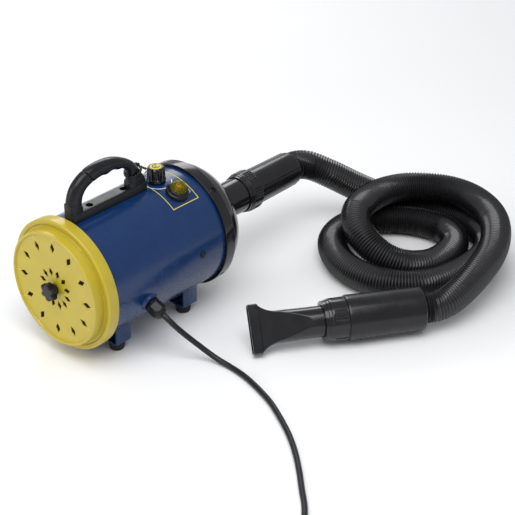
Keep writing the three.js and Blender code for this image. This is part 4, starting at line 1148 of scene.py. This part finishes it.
# ------------------------------------------------------------------ carried-over nodes
CAD_FINISHES = {
    "intake_bracket": "steel", "acoustic_liner": "foam", "motor_plate": "steel", "motor_gasket": "rubber",
    "fan_housing": "pressed", "impeller": "pressed", "motor_shaft": "steel", "armature": "copper",
    "commutator": "copper", "stator": "laminated", "motor_frame": "cast", "end_bracket": "cast",
    "front_bearing": "steel", "rear_bearing": "steel", "brush_holder_near": "pressed",
    "brush_holder_far": "pressed", "motor_mount_ring": "rubber", "switch_body": "matte",
    "speed_control": "steel", "control_board": "board", "wiring_loom": "cord",
}


def dress_inner_nodes():
    for node, finish in CAD_FINISHES.items():
        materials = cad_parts[node].data.materials
        materials.clear()
        materials.append(FINISHES[finish])


# ------------------------------------------------------------------ settings
class DryerSizes(bpy.types.PropertyGroup):
    hose_pitch: FloatProperty(name="Hose rib pitch", description="Distance between ribs of the hose",
                              default=4.0 * MM, unit="LENGTH", precision=5)
    hose_depth: FloatProperty(name="Hose rib depth", description="Depth of the grooves of the hose",
                              default=2.1 * MM, unit="LENGTH", precision=5)
    knob_ribs: IntProperty(name="Knob ribs", description="Ribs around the speed knob", default=10)
    switch_tip: FloatProperty(name="Switch tip", description="How far the rocker is tipped to off",
                              default=math.radians(7), unit="ROTATION")


def size(name):
    """A length of the settings in millimetres."""
    return getattr(bpy.context.scene.dryer_sizes, name) / MM


class DryerColours(bpy.types.PropertyGroup):
    paint: FloatVectorProperty(name="Paint", description="Enamel of the tube", subtype="COLOR", size=4,
                               default=colour(3, 45, 92))
    cover: FloatVectorProperty(name="Filter cover", description="Plastic of the filter cover",
                               subtype="COLOR",
                               size=4, default=colour(186, 166, 40))
    insert: FloatVectorProperty(name="Knob insert", description="Disc on the speed knob", subtype="COLOR",
                                size=4, default=colour(200, 184, 44))
    black: FloatVectorProperty(name="Black plastic", description="Handle, dome and controls",
                               subtype="COLOR",
                               size=4, default=colour(15, 15, 19))
    hose: FloatVectorProperty(name="Hose", description="Hose, cuffs and cord", subtype="COLOR", size=4,
                              default=colour(16, 16, 20))


class DryerStage(bpy.types.PropertyGroup):
    floor: FloatVectorProperty(name="Floor", description="Colour of the floor", subtype="COLOR", size=4,
                               default=(0.93, 0.93, 0.93, 1.0))
    light: FloatProperty(name="Key light", description="Power of the large light above", default=22.0,
                         unit="POWER")


def tone(name):
    return tuple(getattr(bpy.context.scene.dryer_colours, name))


# ------------------------------------------------------------------ stage
CAMERA_PLACE = np.array([-1195.04, -1437.8, 1245.45])
CAMERA_WAY = (-47.49, 30.79)
CAMERA_LENS = 112.29


def make_camera():
    azimuth, elevation = (math.radians(v) for v in CAMERA_WAY)
    back = Vector((math.sin(azimuth) * math.cos(elevation), -math.cos(azimuth) * math.cos(elevation),
                   math.sin(elevation)))
    data = bpy.data.cameras.new("camera")
    data.sensor_width, data.lens = 36, CAMERA_LENS
    data.clip_start, data.clip_end = 0.05, 50
    camera = bpy.data.objects.new("camera", data)
    camera.location = Vector(seat(CAMERA_PLACE))
    camera.rotation_mode = "QUATERNION"
    camera.rotation_quaternion = (-back).to_track_quat("-Z", "Y")
    bpy.context.scene.collection.objects.link(camera)
    bpy.context.scene.camera = camera


def area_light(name, place, target, size, power, tint=(1, 1, 1)):
    data = bpy.data.lights.new(name, "AREA")
    data.shape, data.size, data.size_y = "RECTANGLE", size[0], size[1]
    data.energy, data.color = power, tint
    light = bpy.data.objects.new(name, data)
    light.location = place
    light.rotation_mode = "QUATERNION"
    light.rotation_quaternion = (Vector(target) - Vector(place)).to_track_quat("-Z", "Y")
    bpy.context.scene.collection.objects.link(light)


def make_stage():
    settings = bpy.context.scene.dryer_stage
    half, floor_z = 4.0, 0.0
    mesh = bpy.data.meshes.new("studio_floor")
    mesh.from_pydata([(-half, -half, floor_z), (half, -half, floor_z), (half, half, floor_z),
                      (-half, half, floor_z)],
                     [], [(0, 1, 2, 3)])
    floor = bpy.data.objects.new("studio_floor", mesh)
    bpy.context.scene.collection.objects.link(floor)
    paper = Recipe("studio_paper")
    tint = paper.mix(paper.span(paper.noise(0.4, 2), 0.0, 1.0), tuple(settings.floor),
                     (0.95, 0.95, 0.95, 1))
    paper.wire(tint, paper.shader.inputs["Base Color"])
    paper.set(Roughness=0.7)
    mesh.materials.append(paper.material)
    world = bpy.data.worlds.new("studio")
    world.use_nodes = True
    background = world.node_tree.nodes["Background"]
    background.inputs["Color"].default_value = (0.95, 0.96, 1.0, 1)
    background.inputs["Strength"].default_value = 0.5
    bpy.context.scene.world = world
    bpy.context.scene.view_settings.view_transform = "Standard"
    area_light("key", (-0.5, -0.5, 1.7), (0.05, -0.1, 0.05), (1.6, 1.2), settings.light)
    area_light("side", (-1.7, 0.6, 0.9), (0, 0, 0.1), (1.0, 1.0), settings.light * 0.4)
    area_light("back", (1.2, 1.4, 1.2), (0.1, -0.1, 0.1), (1.2, 0.8), settings.light * 0.5)


# ------------------------------------------------------------------ operators
class DryerOperator:
    """Shared settings of the dryer's operators."""
    bl_options = {"REGISTER", "UNDO"}


class DRYER_OT_camera(DryerOperator, bpy.types.Operator):
    """Places the camera and makes the finishes that every piece uses"""
    bl_idname = "dryer.camera"
    bl_label = "Camera and Finishes"

    def execute(self, context):
        make_camera()
        make_finishes(tone)
        return {"FINISHED"}


class DRYER_OT_cords(DryerOperator, bpy.types.Operator):
    """Makes the hose and the mains cord with everything that is on them"""
    bl_idname = "dryer.cords"
    bl_label = "Hose and Cord"

    def execute(self, context):
        gland = make_gland()
        cord, cord_line, cord_length = make_cord()
        plug = make_plug()
        tie = make_cord_tie()
        fittings = make_hose_fittings()
        make_fan_nozzle()
        hose, hose_line, hose_length = make_hose()
        return {"FINISHED"}


class DRYER_OT_body(DryerOperator, bpy.types.Operator):
    """Makes the tube, the intake end and the dome"""
    bl_idname = "dryer.body"
    bl_label = "Body"

    def execute(self, context):
        make_tube()
        make_filter_cover()
        make_foam()
        make_star_knob()
        make_rear_cover()
        make_screws()
        return {"FINISHED"}


class DRYER_OT_feet(DryerOperator, bpy.types.Operator):
    """Makes the four feet with their brackets"""
    bl_idname = "dryer.feet"
    bl_label = "Feet"

    def execute(self, context):
        for row, x in (("front", 35.8), ("rear", 165.5)):
            for name, side in (("near", -1), ("far", 1)):
                make_foot(x, side, f"{row}_{name}")
        return {"FINISHED"}


class DRYER_OT_controls(DryerOperator, bpy.types.Operator):
    """Makes the switch, the speed knob and the printed panel"""
    bl_idname = "dryer.controls"
    bl_label = "Controls"

    def execute(self, context):
        make_controls()
        make_print()
        return {"FINISHED"}


class DRYER_OT_handle(DryerOperator, bpy.types.Operator):
    """Makes the carrying handle and its grip"""
    bl_idname = "dryer.handle"
    bl_label = "Handle"

    def execute(self, context):
        make_handle()
        return {"FINISHED"}


class DRYER_OT_inner(DryerOperator, bpy.types.Operator):
    """Gives the pieces inside the tube their materials"""
    bl_idname = "dryer.inner"
    bl_label = "Inner Pieces"

    def execute(self, context):
        dress_inner_nodes()
        return {"FINISHED"}


class DRYER_OT_stage(DryerOperator, bpy.types.Operator):
    """Makes the floor and the studio lights"""
    bl_idname = "dryer.stage"
    bl_label = "Stage"

    def execute(self, context):
        make_stage()
        return {"FINISHED"}


OPERATORS = (DRYER_OT_camera, DRYER_OT_cords, DRYER_OT_body, DRYER_OT_feet, DRYER_OT_controls,
             DRYER_OT_handle, DRYER_OT_inner, DRYER_OT_stage)
SETTINGS = {"dryer_sizes": DryerSizes, "dryer_colours": DryerColours, "dryer_stage": DryerStage}


class DRYER_PT_panel(bpy.types.Panel):
    """Lists the settings and the steps"""
    bl_label = "Pet Dryer"
    bl_idname = "DRYER_PT_panel"
    bl_space_type = "VIEW_3D"
    bl_region_type = "UI"
    bl_category = "Pet Dryer"

    def draw(self, context):
        for attribute, group in SETTINGS.items():
            box = self.layout.box()
            for name in group.__annotations__:
                box.prop(getattr(context.scene, attribute), name)
        for operator in OPERATORS:
            self.layout.operator(operator.bl_idname)


def register():
    for cls in (*SETTINGS.values(), *OPERATORS, DRYER_PT_panel):
        bpy.utils.register_class(cls)
    for attribute, group in SETTINGS.items():
        setattr(bpy.types.Scene, attribute, PointerProperty(type=group))


def unregister():
    for attribute in SETTINGS:
        delattr(bpy.types.Scene, attribute)
    for cls in reversed((*SETTINGS.values(), *OPERATORS, DRYER_PT_panel)):
        bpy.utils.unregister_class(cls)


def main():
    register()
    for operator in OPERATORS:
        section, name = operator.bl_idname.split(".")
        getattr(getattr(bpy.ops, section), name)()


if __name__ == "__main__":
    main()
